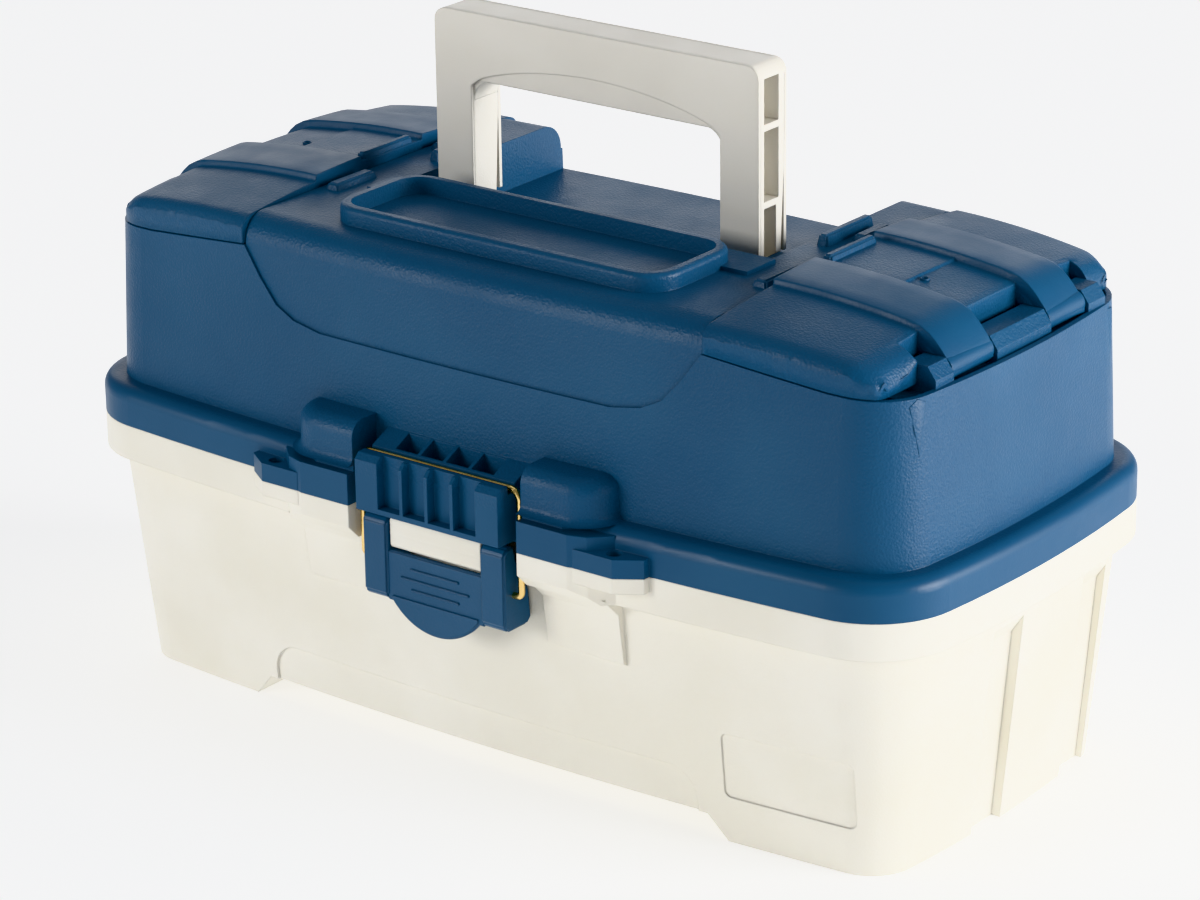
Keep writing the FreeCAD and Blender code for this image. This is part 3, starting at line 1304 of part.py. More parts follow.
def build_tray(label, half, front, rear, low, high, pivots, pivot_z, partitions):
    """Rounded tray with lengthwise partitions, slots for dividers, and pivots at its ends."""
    tray = new_body(label)
    wall = S.inner_tray_wall
    corner = S.inner_tray_corner
    prism(tray, "outside", "XY", rounded(-half, half, -front, rear, corner), low, high)
    dress(tray, "Fillet", "bottom_round", wall * 2, lambda p: near(p.z, low))
    prism(tray, "inside", "XY", rounded(-half + wall, half - wall, -front + wall, rear - wall,
                                        corner - wall), low + wall, high + S.overrun, cut=True)
    for number, share in enumerate(partitions):
        place = between(-front, rear, share)
        prism(tray, f"partition_{number}", "XZ",
              box(-half + wall / 2, half - wall / 2, low + wall / 2, high - wall * 2),
              place - wall / 2, place + wall / 2)
    # Lugs carry the pivots at both ends, between the tray and its arms
    lug_outer = S.arm_inside - S.face_gap / 2
    for number, place in enumerate(pivots):
        if pivot_z.value < low.value:
            hanger = poly([
                (place - S.lug_half_width, low + wall * 4), (place - S.boss_radius, pivot_z),
                (place - S.boss_radius, pivot_z - S.boss_radius),
                (place + S.boss_radius, pivot_z - S.boss_radius), (place + S.boss_radius, pivot_z),
                (place + S.lug_half_width, low + wall * 4),
            ])
            mirrored_prism(tray, f"hanger_{number}", hanger, S.lower_tray_half + S.move_gap, half)
        mirrored_prism(tray, f"lug_{number}", disc(place, pivot_z, S.boss_radius), half - wall,
                       lug_outer)
        mirrored_prism(tray, f"lug_bore_{number}", disc(place, pivot_z, S.rivet_radius + S.tight_fit),
                       half - S.overrun, lug_outer + S.overrun, cut=True)
    return tray


def build_dividers(label, half, front, rear, low, high, partitions, columns):
    """Removable divider plates, standing across the rows of a tray."""
    dividers = new_body(label)
    wall = S.inner_tray_wall
    gap = S.move_gap
    bounds = [-front + wall / 2] + [between(-front, rear, share) for share in partitions] \
        + [rear - wall / 2]
    for row, (row_low, row_high) in enumerate(zip(bounds, bounds[1:])):
        for number, share in enumerate(columns[row]):
            place = between(-half, half, share)
            prism(dividers, f"plate_{row}_{number}", "YZ",
                  box(row_low + wall / 2 + gap / 2, row_high - wall / 2 - gap / 2, low + wall + gap / 2,
                      high - wall * 2 - gap), place - S.divider_thickness / 2,
                  place + S.divider_thickness / 2)
    return dividers


def build_bar(label, side, inside, start, end, holes):
    """Flat steel bar with round ends between two pivots on the YZ plane."""
    bar = new_body(label)
    outside = inside + S.arm_thickness
    low, high = (inside, outside) if side > 0 else (-outside, -inside)
    (start_y, start_z), (end_y, end_z) = start, end
    run_y = end_y - start_y
    run_z = end_z - start_z
    length = root(run_y * run_y + run_z * run_z)
    aside_y = -run_z / length * S.arm_half_width
    aside_z = run_y / length * S.arm_half_width
    prism(bar, "start_round", "YZ", disc(start_y, start_z, S.arm_end_radius), low, high)
    prism(bar, "strip", "YZ", poly([
        (start_y + aside_y, start_z + aside_z), (start_y - aside_y, start_z - aside_z),
        (end_y - aside_y, end_z - aside_z), (end_y + aside_y, end_z + aside_z),
    ]), low, high)
    prism(bar, "end_round", "YZ", disc(end_y, end_z, S.arm_end_radius), low, high)
    for number, (hole_y, hole_z) in enumerate(holes):
        prism(bar, f"hole_{number}", "YZ", disc(hole_y, hole_z, INNER_BORE), low - S.overrun,
              high + S.overrun, cut=True)
    return bar


def build_rivets(label, rows):
    """A group of rivets. Each row is a pivot, the shank's two ends and the head's inner face."""
    rivets = new_body(label)
    for number, (place, height, shank_low, shank_high, head_low) in enumerate(rows):
        for side, name in ((1, "right"), (-1, "left")):
            for part, radius, low, high in (
                    ("shank", S.rivet_radius, shank_low, shank_high),
                    ("head", S.rivet_head_radius, head_low, head_low + S.rivet_head_height)):
                if side < 0:
                    low, high = -high, -low
                prism(rivets, f"{part}_{number}_{name}", "YZ", disc(place, height, radius), low, high)
    return rivets


def build_linkage():
    side_names = ((1, "right"), (-1, "left"))
    pieces = []
    for label, root_y in ARM_ROOTS.items():
        lower = (root_y + direction(S.lower_radius, True), LOWER_PIVOT_Z)
        upper = (root_y + direction(S.upper_radius, True), UPPER_PIVOT_Z)
        start = (root_y, S.arm_base_z)
        for side, name in side_names:
            pieces.append(build_bar(f"{label}_arm_{name}", side, S.arm_inside, start, upper,
                                    (start, lower, upper)))
    upper_rear = (UPPER_PIVOTS[1], UPPER_PIVOT_Z)
    lid_end = (LINK_LID_Y, LINK_LID_Z)
    for side, name in side_names:
        pieces.append(build_bar(f"lid_link_{name}", side, LINK_INSIDE, upper_rear, lid_end,
                                (upper_rear, lid_end)))
    head = S.rivet_head_height
    inner_head = S.arm_inside - S.face_gap - head
    base_rows = [(place, S.arm_base_z, inner_head, ARM_OUTSIDE + S.face_gap + S.boss_radius, inner_head)
                 for place in ARM_ROOTS.values()]
    outer_head = ARM_OUTSIDE + S.face_gap / 2
    lower_rows = [(place, LOWER_PIVOT_Z, S.lower_tray_half - S.inner_tray_wall, outer_head, outer_head)
                  for place in LOWER_PIVOTS]
    upper_start = S.upper_tray_half - S.inner_tray_wall
    link_head = LINK_OUTSIDE + S.face_gap / 2
    upper_rows = [
        (UPPER_PIVOTS[0], UPPER_PIVOT_Z, upper_start, outer_head, outer_head),
        (UPPER_PIVOTS[1], UPPER_PIVOT_Z, upper_start, link_head, link_head),
    ]
    lid_head = LINK_INSIDE - S.face_gap - head
    lid_rows = [(LINK_LID_Y, LINK_LID_Z, lid_head, LINK_OUTSIDE + S.face_gap + S.boss_radius, lid_head)]
    pieces.append(build_rivets("base_rivets", base_rows))
    pieces.append(build_rivets("lower_tray_rivets", lower_rows))
    pieces.append(build_rivets("upper_tray_rivets", upper_rows))
    pieces.append(build_rivets("lid_rivets", lid_rows))
    return pieces


lower_partition_shares = (0.36, 0.68)
upper_partition_shares = (0.5,)
lower_column_shares = ((0.2, 0.4, 0.6, 0.8), (0.25, 0.5, 0.75), (0.33, 0.66))
upper_column_shares = ((0.17, 0.34, 0.5, 0.66, 0.83), (0.25, 0.5, 0.75))


def build_trays():
    lower = (S.lower_tray_half, S.lower_tray_front, S.lower_tray_rear, S.lower_tray_low,
             S.lower_tray_high)
    upper = (S.upper_tray_half, S.upper_tray_front, S.upper_tray_rear, S.upper_tray_low,
             S.upper_tray_high)
    return [
        build_tray("lower_tray", *lower, LOWER_PIVOTS, LOWER_PIVOT_Z, lower_partition_shares),
        build_tray("upper_tray", *upper, UPPER_PIVOTS, UPPER_PIVOT_Z, upper_partition_shares),
        build_dividers("lower_tray_dividers", *lower, lower_partition_shares, lower_column_shares),
        build_dividers("upper_tray_dividers", *upper, upper_partition_shares, upper_column_shares),
    ]


def check(pieces):
    """Stop before anything is written if any object failed or any piece is not a sound solid."""
    doc.recompute()
    failed = [one.Name for one in doc.Objects if "Invalid" in one.State or "Error" in one.State]
    if failed:
        raise RuntimeError(f"failed objects: {failed}")
    for piece in pieces:
        shape = piece.Shape
        if shape.isNull() or not shape.isValid() or not shape.Solids:
            raise RuntimeError(f"{piece.Label} is not a sound solid")


def main():
    pieces = [build_lid(), build_base(), build_cover("right_cover", 1), build_cover("left_cover", -1),
              build_handle(), build_lever(), build_latch_pin(), build_bail(),
              build_hinge_pin("hinge_pin_right", 1), build_hinge_pin("hinge_pin_left", -1)]
    pieces += build_trays()
    pieces += build_linkage()
    check(pieces)
    os.makedirs("parts", exist_ok=True)
    for piece in pieces:
        piece.Shape.exportStep(f"parts/{piece.Label}.step")
        print(piece.Label, len(piece.Shape.Solids), round(piece.Shape.Volume))


main()
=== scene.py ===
import math

import bmesh
import bpy
from mathutils import Matrix, Vector


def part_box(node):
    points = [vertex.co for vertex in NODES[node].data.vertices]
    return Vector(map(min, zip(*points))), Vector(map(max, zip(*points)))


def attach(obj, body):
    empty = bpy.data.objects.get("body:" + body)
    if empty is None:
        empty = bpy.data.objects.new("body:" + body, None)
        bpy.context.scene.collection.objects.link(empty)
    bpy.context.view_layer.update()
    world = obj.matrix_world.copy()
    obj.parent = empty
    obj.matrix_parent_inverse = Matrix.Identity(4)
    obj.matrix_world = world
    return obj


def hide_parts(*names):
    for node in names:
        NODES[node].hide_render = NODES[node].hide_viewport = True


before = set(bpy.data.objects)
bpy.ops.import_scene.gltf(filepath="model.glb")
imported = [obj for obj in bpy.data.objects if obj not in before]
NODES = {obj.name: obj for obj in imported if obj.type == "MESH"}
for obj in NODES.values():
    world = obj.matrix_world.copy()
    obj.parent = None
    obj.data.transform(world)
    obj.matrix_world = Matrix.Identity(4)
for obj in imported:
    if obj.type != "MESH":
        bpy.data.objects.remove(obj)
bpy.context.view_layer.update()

MM = 0.001

# Camera: the photograph's viewing angle in radians, on an image 1200 pixels wide
IMAGE_WIDTH = 1200
CAMERA_AZIMUTH = 0.658
CAMERA_ELEVATION = 0.364
CAMERA_ROLL = -0.014
CAMERA_DISTANCE = 1.6043
CAMERA_AIM = Vector((-0.00273, 0.0, 0.09757))
FOCAL_PIXELS = 4381.9
SENSOR_WIDTH = 36.0

# Plan of the lid, in millimetres: bowed sides with round corners
HALF_LENGTH = 190.0
HALF_DEPTH = 93.3
FRONT_BOW = 9.9
END_BOW = 8.3
CORNER = 33.0
CORNER_ROUNDS = 30
COVER_INSET = 10.9

# Covers of the top bins, in millimetres, on the right side: plan
COVER_START = 102.1
COVER_SHOULDER = 158.0
COVER_PANEL_END = 168.4
COVER_NOTCH_END = 160.6
COVER_TURN = 8.0
NOTCH_FRONT = -50.5
NOTCH_REAR = 57.0
NOTCH_EDGE = 0.1
BORDER_STEPS = 60
BORDER_END = 13

# Heights and rounding of a cover, in millimetres
COVER_TOP = 195.8
COVER_FALL = 4.0
COVER_ARCH = 1.1
COVER_DROP = 5.2
COVER_CROWN = 1.4
COVER_NOSE = 5.0
END_SLOPE = 0.28
END_CURVE = 0.02
PANEL_STEP = 136.0
PANEL_STEP_DEPTH = 0.7
COVER_WALL = 2.2
LEAST_SIDE = 0.2
COVER_LOW = ((101.5, 179.8), (150.0, 175.2), (190.0, 173.8))

# Straps of a cover, and the pins they turn on, in millimetres
STRAPS = ((-38.5, -13.0), (22.0, 45.0))
STRAP_HEIGHT = 2.2
STRAP_SIDE = ((-0.5, 0.0), (-0.15, 0.12), (0.15, 0.75), (0.45, 0.95), (0.9, 1.0))
STRAP_PART_SHARES = (0.25, 0.5, 0.75)
BESIDE_STRAP = 5.0
BETWEEN_STRAPS = (-6.0, 4.0, 12.0)
STRAP_ROLL = ((COVER_SHOULDER, COVER_TOP - COVER_FALL), (163.0, 190.1), (167.0, 187.2), (170.4, 183.5),
              (173.0, 180.2), (174.3, 177.2), (174.3, 175.4))
COVER_PIVOT = (170.0, 176.5)
KNUCKLE_RADIUS = 4.5
PIN_RADIUS = 2.2
PIN_REACH = 6.0

# Rows of a cover's surface along its length, then shares of its outer end and of its nose
COVER_ROWS = (COVER_START, 102.5, 103.5, 106.0, 110.0, 115.0, 120.0, 125.0, 130.0, 134.0, 135.7, 136.3,
              138.0, 142.0, 146.0, 150.0, 153.0, 155.5, COVER_SHOULDER)
END_SHARES = (0.12, 0.25, 0.38, 0.5, 0.62, 0.73, 0.82, 0.89, 0.94, 0.975, 1.0)
NOSE_SHARES = (0.0, 0.3, 0.55, 0.7, 0.8, 0.86, 0.9, 0.935, 0.96, 0.978, 0.99, 1.0)

# Bars on the lid's top and on the covers' inner edges: x, y and z spans, in millimetres
LID_BARS = {
    "front_ridge": ((92.0, 99.0), (-38.0, -15.0), (189.0, 192.6)),
    "rear_ridge": ((92.0, 99.0), (22.0, 40.0), (189.0, 192.6)),
    "keeper": ((85.0, 90.0), (11.0, 41.0), (189.0, 194.2)),
}
FINGER_LIP = ((102.3, 107.0), (-11.0, 18.0), (191.0, 196.0))
BAR_LEAN_SHARE = 0.16
BAR_ROUND = 0.7

# Handle, in millimetres
HANDLE_HALF = 72.0
HANDLE_LEG = 16.5
HANDLE_TOP = 255.7
HANDLE_UNDER = 230.5
HANDLE_LOW = 186.0
HANDLE_CORNER = 5.0
HANDLE_GUSSET = 8.0
GUSSET_OVERLAP = 1.0
ARCH_RISE = 9.0
ARCH_DIP = 2.0
ARCH_POWER = 0.62
ARCH_STEPS = 32
SKIN = 0.8

# Round marks that the mould's pins leave, in millimetres: place, radii and height
PANEL_MARK = (138.8, -1.3, 191.6)
MARK_OUTER = 1.7
MARK_INNER = 1.1
MARK_PROUD = 0.35
MARK_EDGE_SHARE = 0.6
MARK_SIDES = 32

# Latch lever, in millimetres: a post's side outline as depth and height, then the other sizes
POST_SIDE = ((-100.2, 69.7), (-100.2, 96.8), (-98.0, 99.0), (-94.4, 99.0), (-92.8, 93.0),
             (-86.4, 80.8), (-85.1, 69.7), (-87.3, 67.5), (-98.0, 67.5))
POST_INNER = 21.0
POST_ROUND = 0.8
LEVER_HALF = 32.0
PANEL_DEPTH = (-99.2, -96.8)
PANEL_HEIGHTS = (67.6, 86.7)
PANEL_OVERLAP = 1.0
PANEL_ROUND = 0.5
TAB_DEPTH = (-99.8, -96.9)
TAB_HALF = 20.0
TAB_LOW = 58.3
TAB_HIGH = 68.5
TAB_OVERLAP = 2.0
TAB_ROUND = 0.7
TAB_STEPS = 40
GRIP_LINES = ((81.5, 11.0), (77.6, 15.5), (73.7, 11.0))
GRIP_HALF = 0.55
GRIP_PROUD = 0.5
GRIP_ROUND = 0.3

# Domes beside the latch, in millimetres, and the steps of their quarter turns
DOME_INNER = 37.8
DOME_OUTER = 69.5
DOME_FRONT = 97.4
DOME_BACK = 80.0
DOME_SIDE = 14.0
DOME_TOP = 130.0
DOME_ROUND = 6.0
DOME_SWEEP = 3.0
DOME_FOOT = 114.2
DOME_SIDE_STEPS = 14
DOME_SWEEP_STEPS = 6
DOME_ROUND_STEPS = 8

# Fill over a proud corner of the lid's end block, in millimetres: tip, four points round it, inner tip
CORNER_FILL = ((176.1, -60.25, 171.6), (176.15, -60.15, 153.0), (174.05, -63.5, 171.0),
               (175.2, -60.4, 173.5), (176.15, -56.8, 171.8), (173.5, -59.0, 170.0))

# How meshes are closed, rounded and shaded: lengths in millimetres, angles in radians
WELD = 0.001
ROUND_SEGMENTS = 3
ROUND_TURN = 0.5
SHARP_TURN = math.radians(32.0)
ROD_SIDES = 28
QUARTER_STEPS = 7

# Colours
BLUE = (0.012, 0.067, 0.148, 1)
BLUE_PALE = (0.016, 0.079, 0.166, 1)
CREAM = (0.80, 0.775, 0.70, 1)
CREAM_SHADE = (0.74, 0.71, 0.62, 1)
HANDLE_CREAM = (0.75, 0.72, 0.65, 1)
HANDLE_SHADE = (0.69, 0.66, 0.59, 1)
TRAY = (0.72, 0.70, 0.63, 1)
TRAY_SHADE = (0.66, 0.635, 0.56, 1)
BRASS = (0.95, 0.70, 0.30, 1)
BRASS_DULL = (0.80, 0.55, 0.22, 1)
STEEL = (0.62, 0.63, 0.65, 1)
STEEL_DULL = (0.42, 0.43, 0.45, 1)

# Moulded plastic: tone changes, pebbled grain with a finer noise in it, and dull patches
TONE_SCALE = 14.0
TONE_DETAIL = 3.0
TONE_SPAN = (0.3, 0.7)
FINE_SCALE_SHARE = 2.6
FINE_HEIGHT_SHARE = 0.55
CELL_SMOOTHNESS = 0.6
GRAIN_HEIGHT = 0.35 * MM
DULL_SCALE = 60.0
DULL_DETAIL = 4.0
DULL_SPAN = (0.25, 0.75)
DULL_CHANGE = (-0.04, 0.06)
EDGE_SAMPLES = 6
BLUE_ROUGHNESS = 0.42
BLUE_GRAIN_SCALE = 1050.0
BLUE_GRAIN = 0.4
BLUE_GLOSS = 0.36
SUBSURFACE_SHARE = 0.06
SUBSURFACE_RADIUS = (0.004, 0.003, 0.002)
SUBSURFACE_SCALE = 0.5

# Where the grain changes on the lid, the base and the covers: levels in metres, then its shares
FLANGE_TOP = 0.1143
LIP_LOW = 0.0863
LEVEL_FADE = 1.0 * MM
STRAP_FADE = 0.5 * MM
FLANGE_GRAIN_SHARE = 0.15
LIP_GRAIN_SHARE = 0.35
STRAP_LOSS_SHARE = 0.75

# Metal: drawn streaks along X and dull patches
STREAK_STRETCH = (4.0, 40.0, 40.0)
STREAK_SCALE = 30.0
STREAK_DETAIL = 4.0
STREAK_SPAN = (0.2, 0.8)
STREAK_CHANGE = (-0.06, 0.10)
STREAK_STRENGTH = 0.12
STREAK_HEIGHT = 0.1 * MM
PATCH_SCALE = 120.0
PATCH_DETAIL = 3.0
PATCH_SPAN = (0.35, 0.75)
METAL_EDGE = 0.2 * MM

# Nodes of one look each
TRAY_NODES = ("lower_tray", "upper_tray", "lower_tray_dividers", "upper_tray_dividers")
STEEL_NODES = ("latch_pin", "hinge_pin_left", "hinge_pin_right", "front_arm_left", "front_arm_right",
               "rear_arm_left", "rear_arm_right", "lid_link_left", "lid_link_right", "base_rivets",
               "lower_tray_rivets", "upper_tray_rivets", "lid_rivets")

# Stage: floor, surroundings, and lights by place, size and power
FLOOR = (0.93, 0.93, 0.93, 1)
FLOOR_SIZE = 14.0
FLOOR_ROUGHNESS = 0.9
FLOOR_GLOW = 0.5
FLOOR_GRAIN_SCALE = 300.0
FLOOR_GRAIN = 0.02
FLOOR_GRAIN_HEIGHT = 0.2 * MM
SKY = (0.93, 0.95, 1.0, 1)
SKY_STRENGTH = 0.25
LIGHT_AIM = Vector((0, 0, 0.1))
LIGHTS = {
    "key_right": ((2.2, 0.7, 0.6), (1.3, 1.0), 78.0),
    "front_left": ((-1.3, -2.3, 0.8), (1.2, 1.0), 32.0),
    "back_wall": ((-1.7, 2.3, 1.1), (3.4, 1.6), 24.0),
    "top": ((-0.2, 0.3, 2.2), (1.8, 1.4), 6.0),
}


class Nodes:
    """Short calls for the nodes of one material."""

    def __init__(self, name):
        self.material = bpy.data.materials.new(name)
        self.material.use_nodes = True
        self.tree = self.material.node_tree
        self.shader = self.tree.nodes["Principled BSDF"]

    def add(self, kind, **inputs):
        node = self.tree.nodes.new("ShaderNode" + kind)
        for name, value in inputs.items():
            self.feed(node.inputs[name.replace("_", " ")], value)
        return node

    def feed(self, socket, value):
        if isinstance(value, bpy.types.NodeSocket):
            self.tree.links.new(value, socket)
        else:
            socket.default_value = value

    def place(self):
        """Place on the piece, in metres."""
        return self.add("TexCoord").outputs["Object"]

    def axis(self, place, letter):
        return self.add("SeparateXYZ", Vector=place).outputs[letter]

    def noise(self, place, scale, detail=2.0):
        return self.add("TexNoise", Vector=place, Scale=scale, Detail=detail).outputs["Fac"]

    def cells(self, place, scale):
        node = self.add("TexVoronoi", Vector=place, Scale=scale)
        node.feature = "SMOOTH_F1"
        node.inputs["Smoothness"].default_value = CELL_SMOOTHNESS
        return node.outputs["Distance"]

    def span(self, value, low, high, to_low=0.0, to_high=1.0):
        """Smooth change of a value between two levels."""
        node = self.add("MapRange", Value=value, From_Min=low, From_Max=high, To_Min=to_low,
                        To_Max=to_high)
        node.interpolation_type = "SMOOTHSTEP"
        return node.outputs["Result"]

    def math(self, operation, first, second):
        node = self.add("Math")
        node.operation = operation
        self.feed(node.inputs[0], first)
        self.feed(node.inputs[1], second)
        return node.outputs["Value"]

    def mix(self, share, first, second):
        return self.add("MixRGB", Fac=share, Color1=first, Color2=second).outputs["Color"]

    def bump(self, height, strength, distance, normal):
        return self.add("Bump", Height=height, Strength=strength, Distance=distance,
                        Normal=normal).outputs["Normal"]

    def rounded(self, radius):
        """Normal with the small moulded rounding of every edge."""
        node = self.add("Bevel", Radius=radius)
        node.samples = EDGE_SAMPLES
        return node.outputs["Normal"]

    def set(self, name, value):
        self.feed(self.shader.inputs[name], value)


def moulded(name, color, shade, grain_scale, grain, roughness, mask=None, edge=0.9 * MM, gloss=0.45):
    """Moulded plastic: pebbled grain where the mask allows it, faint tone changes and rounded edges."""
    m = Nodes(name)
    place = m.place()
    tone = m.noise(place, TONE_SCALE, TONE_DETAIL)
    fine = m.noise(place, grain_scale * FINE_SCALE_SHARE)
    pebble = m.cells(place, grain_scale)
    height = m.math("ADD", pebble, m.math("MULTIPLY", fine, FINE_HEIGHT_SHARE))
    strength = m.math("MULTIPLY", mask(m, place), grain) if mask else grain
    m.set("Base Color", m.mix(m.span(tone, *TONE_SPAN), color, shade))
    dull = m.noise(place, DULL_SCALE, DULL_DETAIL)
    m.set("Roughness", m.span(dull, *DULL_SPAN, *(roughness + change for change in DULL_CHANGE)))
    m.set("Normal", m.bump(height, strength, GRAIN_HEIGHT, m.rounded(edge)))
    m.set("Specular IOR Level", gloss)
    return m


def above_flange(m, place):
    """Grain above the lid's flange, nearly smooth on the flange itself."""
    height = m.axis(place, "Z")
    return m.span(height, FLANGE_TOP - LEVEL_FADE, FLANGE_TOP + LEVEL_FADE, FLANGE_GRAIN_SHARE, 1.0)


def below_lip(m, place):
    """Fine texture on the base's wall, smoother on its lip."""
    return m.span(m.axis(place, "Z"), LIP_LOW - LEVEL_FADE, LIP_LOW + LEVEL_FADE, 1.0, LIP_GRAIN_SHARE)


def off_straps(m, place):
    """Grain between a cover's straps, nearly smooth on the straps."""
    y = m.axis(place, "Y")
    mask = None
    for start, end in STRAPS:
        rise = m.span(y, start * MM - STRAP_FADE, start * MM + STRAP_FADE)
        fall = m.span(y, end * MM - STRAP_FADE, end * MM + STRAP_FADE)
        inside = m.math("SUBTRACT", rise, fall)
        mask = inside if mask is None else m.math("ADD", mask, inside)
    return m.math("SUBTRACT", 1.0, m.math("MULTIPLY", mask, STRAP_LOSS_SHARE))


def metal(name, color, dull, roughness):
    """Drawn or rolled metal with faint streaks and dull patches."""
    m = Nodes(name)
    place = m.place()
    stretch = m.add("Mapping", Vector=place, Scale=STREAK_STRETCH).outputs["Vector"]
    lines = m.noise(stretch, STREAK_SCALE, STREAK_DETAIL)
    patches = m.noise(place, PATCH_SCALE, PATCH_DETAIL)
    m.set("Base Color", m.mix(m.span(patches, *PATCH_SPAN), color, dull))
    m.set("Metallic", 1.0)
    m.set("Roughness", m.span(lines, *STREAK_SPAN, *(roughness + change for change in STREAK_CHANGE)))
    m.set("Normal", m.bump(lines, STREAK_STRENGTH, STREAK_HEIGHT, m.rounded(METAL_EDGE)))
    return m


def textured_blue(name, mask, **changes):
    """Blue plastic with the strong grain of the lid and the covers."""
    return moulded(name, BLUE, BLUE_PALE, BLUE_GRAIN_SCALE, BLUE_GRAIN, BLUE_ROUGHNESS, mask,
                   gloss=BLUE_GLOSS, **changes)


def make_materials():
    lid = textured_blue("blue_plastic_lid", above_flange, edge=0.5 * MM)
    cover = textured_blue("blue_plastic_cover", off_straps)
    latch = moulded("blue_plastic_latch", BLUE, BLUE_PALE, grain_scale=850.0, grain=0.12,
                    roughness=0.36, edge=0.7 * MM)
    cream = moulded("cream_plastic", CREAM, CREAM_SHADE, grain_scale=1300.0, grain=0.16,
                    roughness=0.46, mask=below_lip)
    handle = moulded("handle_plastic", HANDLE_CREAM, HANDLE_SHADE, grain_scale=1500.0, grain=0.08,
                     roughness=0.38, edge=1.0 * MM)
    tray = moulded("tray_plastic", TRAY, TRAY_SHADE, grain_scale=1500.0, grain=0.08, roughness=0.36,
                   edge=0.6 * MM)
    brass = metal("brass", BRASS, BRASS_DULL, roughness=0.22)
    steel = metal("steel", STEEL, STEEL_DULL, roughness=0.36)
    for soft in (cream, handle, tray):
        soft.set("Subsurface Weight", SUBSURFACE_SHARE)
        soft.set("Subsurface Radius", SUBSURFACE_RADIUS)
        soft.set("Subsurface Scale", SUBSURFACE_SCALE)
    finishes = {"lid_shell": lid, "left_cover": cover, "right_cover": cover, "latch_lever": latch,
                "base_tub": cream, "handle": handle, "bail_wire": brass}
    finishes.update((node, tray) for node in TRAY_NODES)
    finishes.update((node, steel) for node in STEEL_NODES)
    return finishes


def dress_nodes():
    finishes = make_materials()
    for node, finish in finishes.items():
        mesh = NODES[node].data
        mesh.materials.clear()
        mesh.materials.append(finish.material)
    return finishes


def new_piece(name, mesh, body, finish, stands_for=()):
    """A piece of the scene, in metres, that rides on a body."""
    mesh.transform(Matrix.Scale(MM, 4))
    mesh.update()
    mesh.shade_smooth()
    mesh.set_sharp_from_angle(angle=SHARP_TURN)
    mesh.materials.append(finish.material)
    piece = bpy.data.objects.new(name, mesh)
    bpy.context.scene.collection.objects.link(piece)
    if stands_for:
        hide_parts(*stands_for)
    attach(piece, body)
    return piece


def mesh_of(name, points, faces, side=1):
    """A mesh from points in millimetres, mirrored to the left side where asked."""
    mesh = bpy.data.meshes.new(name)
    mesh.from_pydata([(x * side, y, z) for x, y, z in points], [], faces)
    made = bmesh.new()
    made.from_mesh(mesh)
    bmesh.ops.remove_doubles(made, verts=made.verts, dist=WELD)
    bmesh.ops.recalc_face_normals(made, faces=made.faces)
    made.to_mesh(mesh)
    made.free()
    return mesh


def soften(mesh, size):
    """Rounds the edges of a mesh that turn sharply."""
    made = bmesh.new()
    made.from_mesh(mesh)
    sharp = [edge for edge in made.edges if edge.calc_face_angle(0) > ROUND_TURN]
    bmesh.ops.bevel(made, geom=sharp, offset=size, segments=ROUND_SEGMENTS, affect="EDGES")
    made.to_mesh(mesh)
    made.free()


def prism_faces(count):
    """Faces of a prism whose two outlines of points follow each other."""
    faces = [tuple(range(count)), tuple(range(count, 2 * count))]
    return faces + [(n, (n + 1) % count, count + (n + 1) % count, count + n) for n in range(count)]


def front_prism(name, outline, depths):
    """Prism of an outline of x and z, between two depths."""
    points = [(x, y, z) for y in depths for x, z in outline]
    return mesh_of(name, points, prism_faces(len(outline)))


def side_prism(name, outline, places):
    """Prism of an outline of depth and height, between two places along X."""
    points = [(x, y, z) for x in places for y, z in outline]
    return mesh_of(name, points, prism_faces(len(outline)))


def grid_faces(lines, length):
    """Faces between neighbouring lines of points."""
    faces = []
    for line in range(lines - 1):
        for number in range(length - 1):
            corner = line * length + number
            faces.append((corner, corner + 1, corner + length + 1, corner + length))
    return faces


def grid_rim(lines, length):
    """Numbers of the points round a grid's border."""
    last = (lines - 1) * length
    rim = list(range(length)) + [line * length + length - 1 for line in range(1, lines)]
    rim += list(range(last + length - 2, last - 1, -1))
    return rim + [line * length for line in range(lines - 2, 0, -1)]


def ring_faces(rings, count):
    """Faces between neighbouring closed rings of points."""
    return [(ring * count + n, ring * count + (n + 1) % count,
             (ring + 1) * count + (n + 1) % count, (ring + 1) * count + n)
            for ring in range(rings - 1) for n in range(count)]


def circle(x, y, radius, count):
    """Points of a full circle."""
    turns = [2 * math.pi * number / count for number in range(count)]
    return [(x + radius * math.cos(turn), y + radius * math.sin(turn)) for turn in turns]


def quarter_turns(start, steps):
    return [math.radians(start + 90.0 * n / steps) for n in range(steps + 1)]


def quarter(x, z, radius, start, steps=QUARTER_STEPS):
    """Points of a quarter circle from a start angle in degrees."""
    return [(x + radius * math.cos(turn), z + radius * math.sin(turn))
            for turn in quarter_turns(start, steps)]


def corner_place():
    """Centre of the plan's corner circle, which touches the bowed front and end."""
    front = (HALF_LENGTH ** 2 + FRONT_BOW ** 2) / (2 * FRONT_BOW)
    end = (HALF_DEPTH ** 2 + END_BOW ** 2) / (2 * END_BOW)
    x, y = HALF_LENGTH - CORNER, HALF_DEPTH - CORNER
    for _ in range(CORNER_ROUNDS):
        y = math.sqrt((front - CORNER) ** 2 - x ** 2) - (front - HALF_DEPTH)
        x = math.sqrt((end - CORNER) ** 2 - y ** 2) - (end - HALF_LENGTH)
    return x, y, front


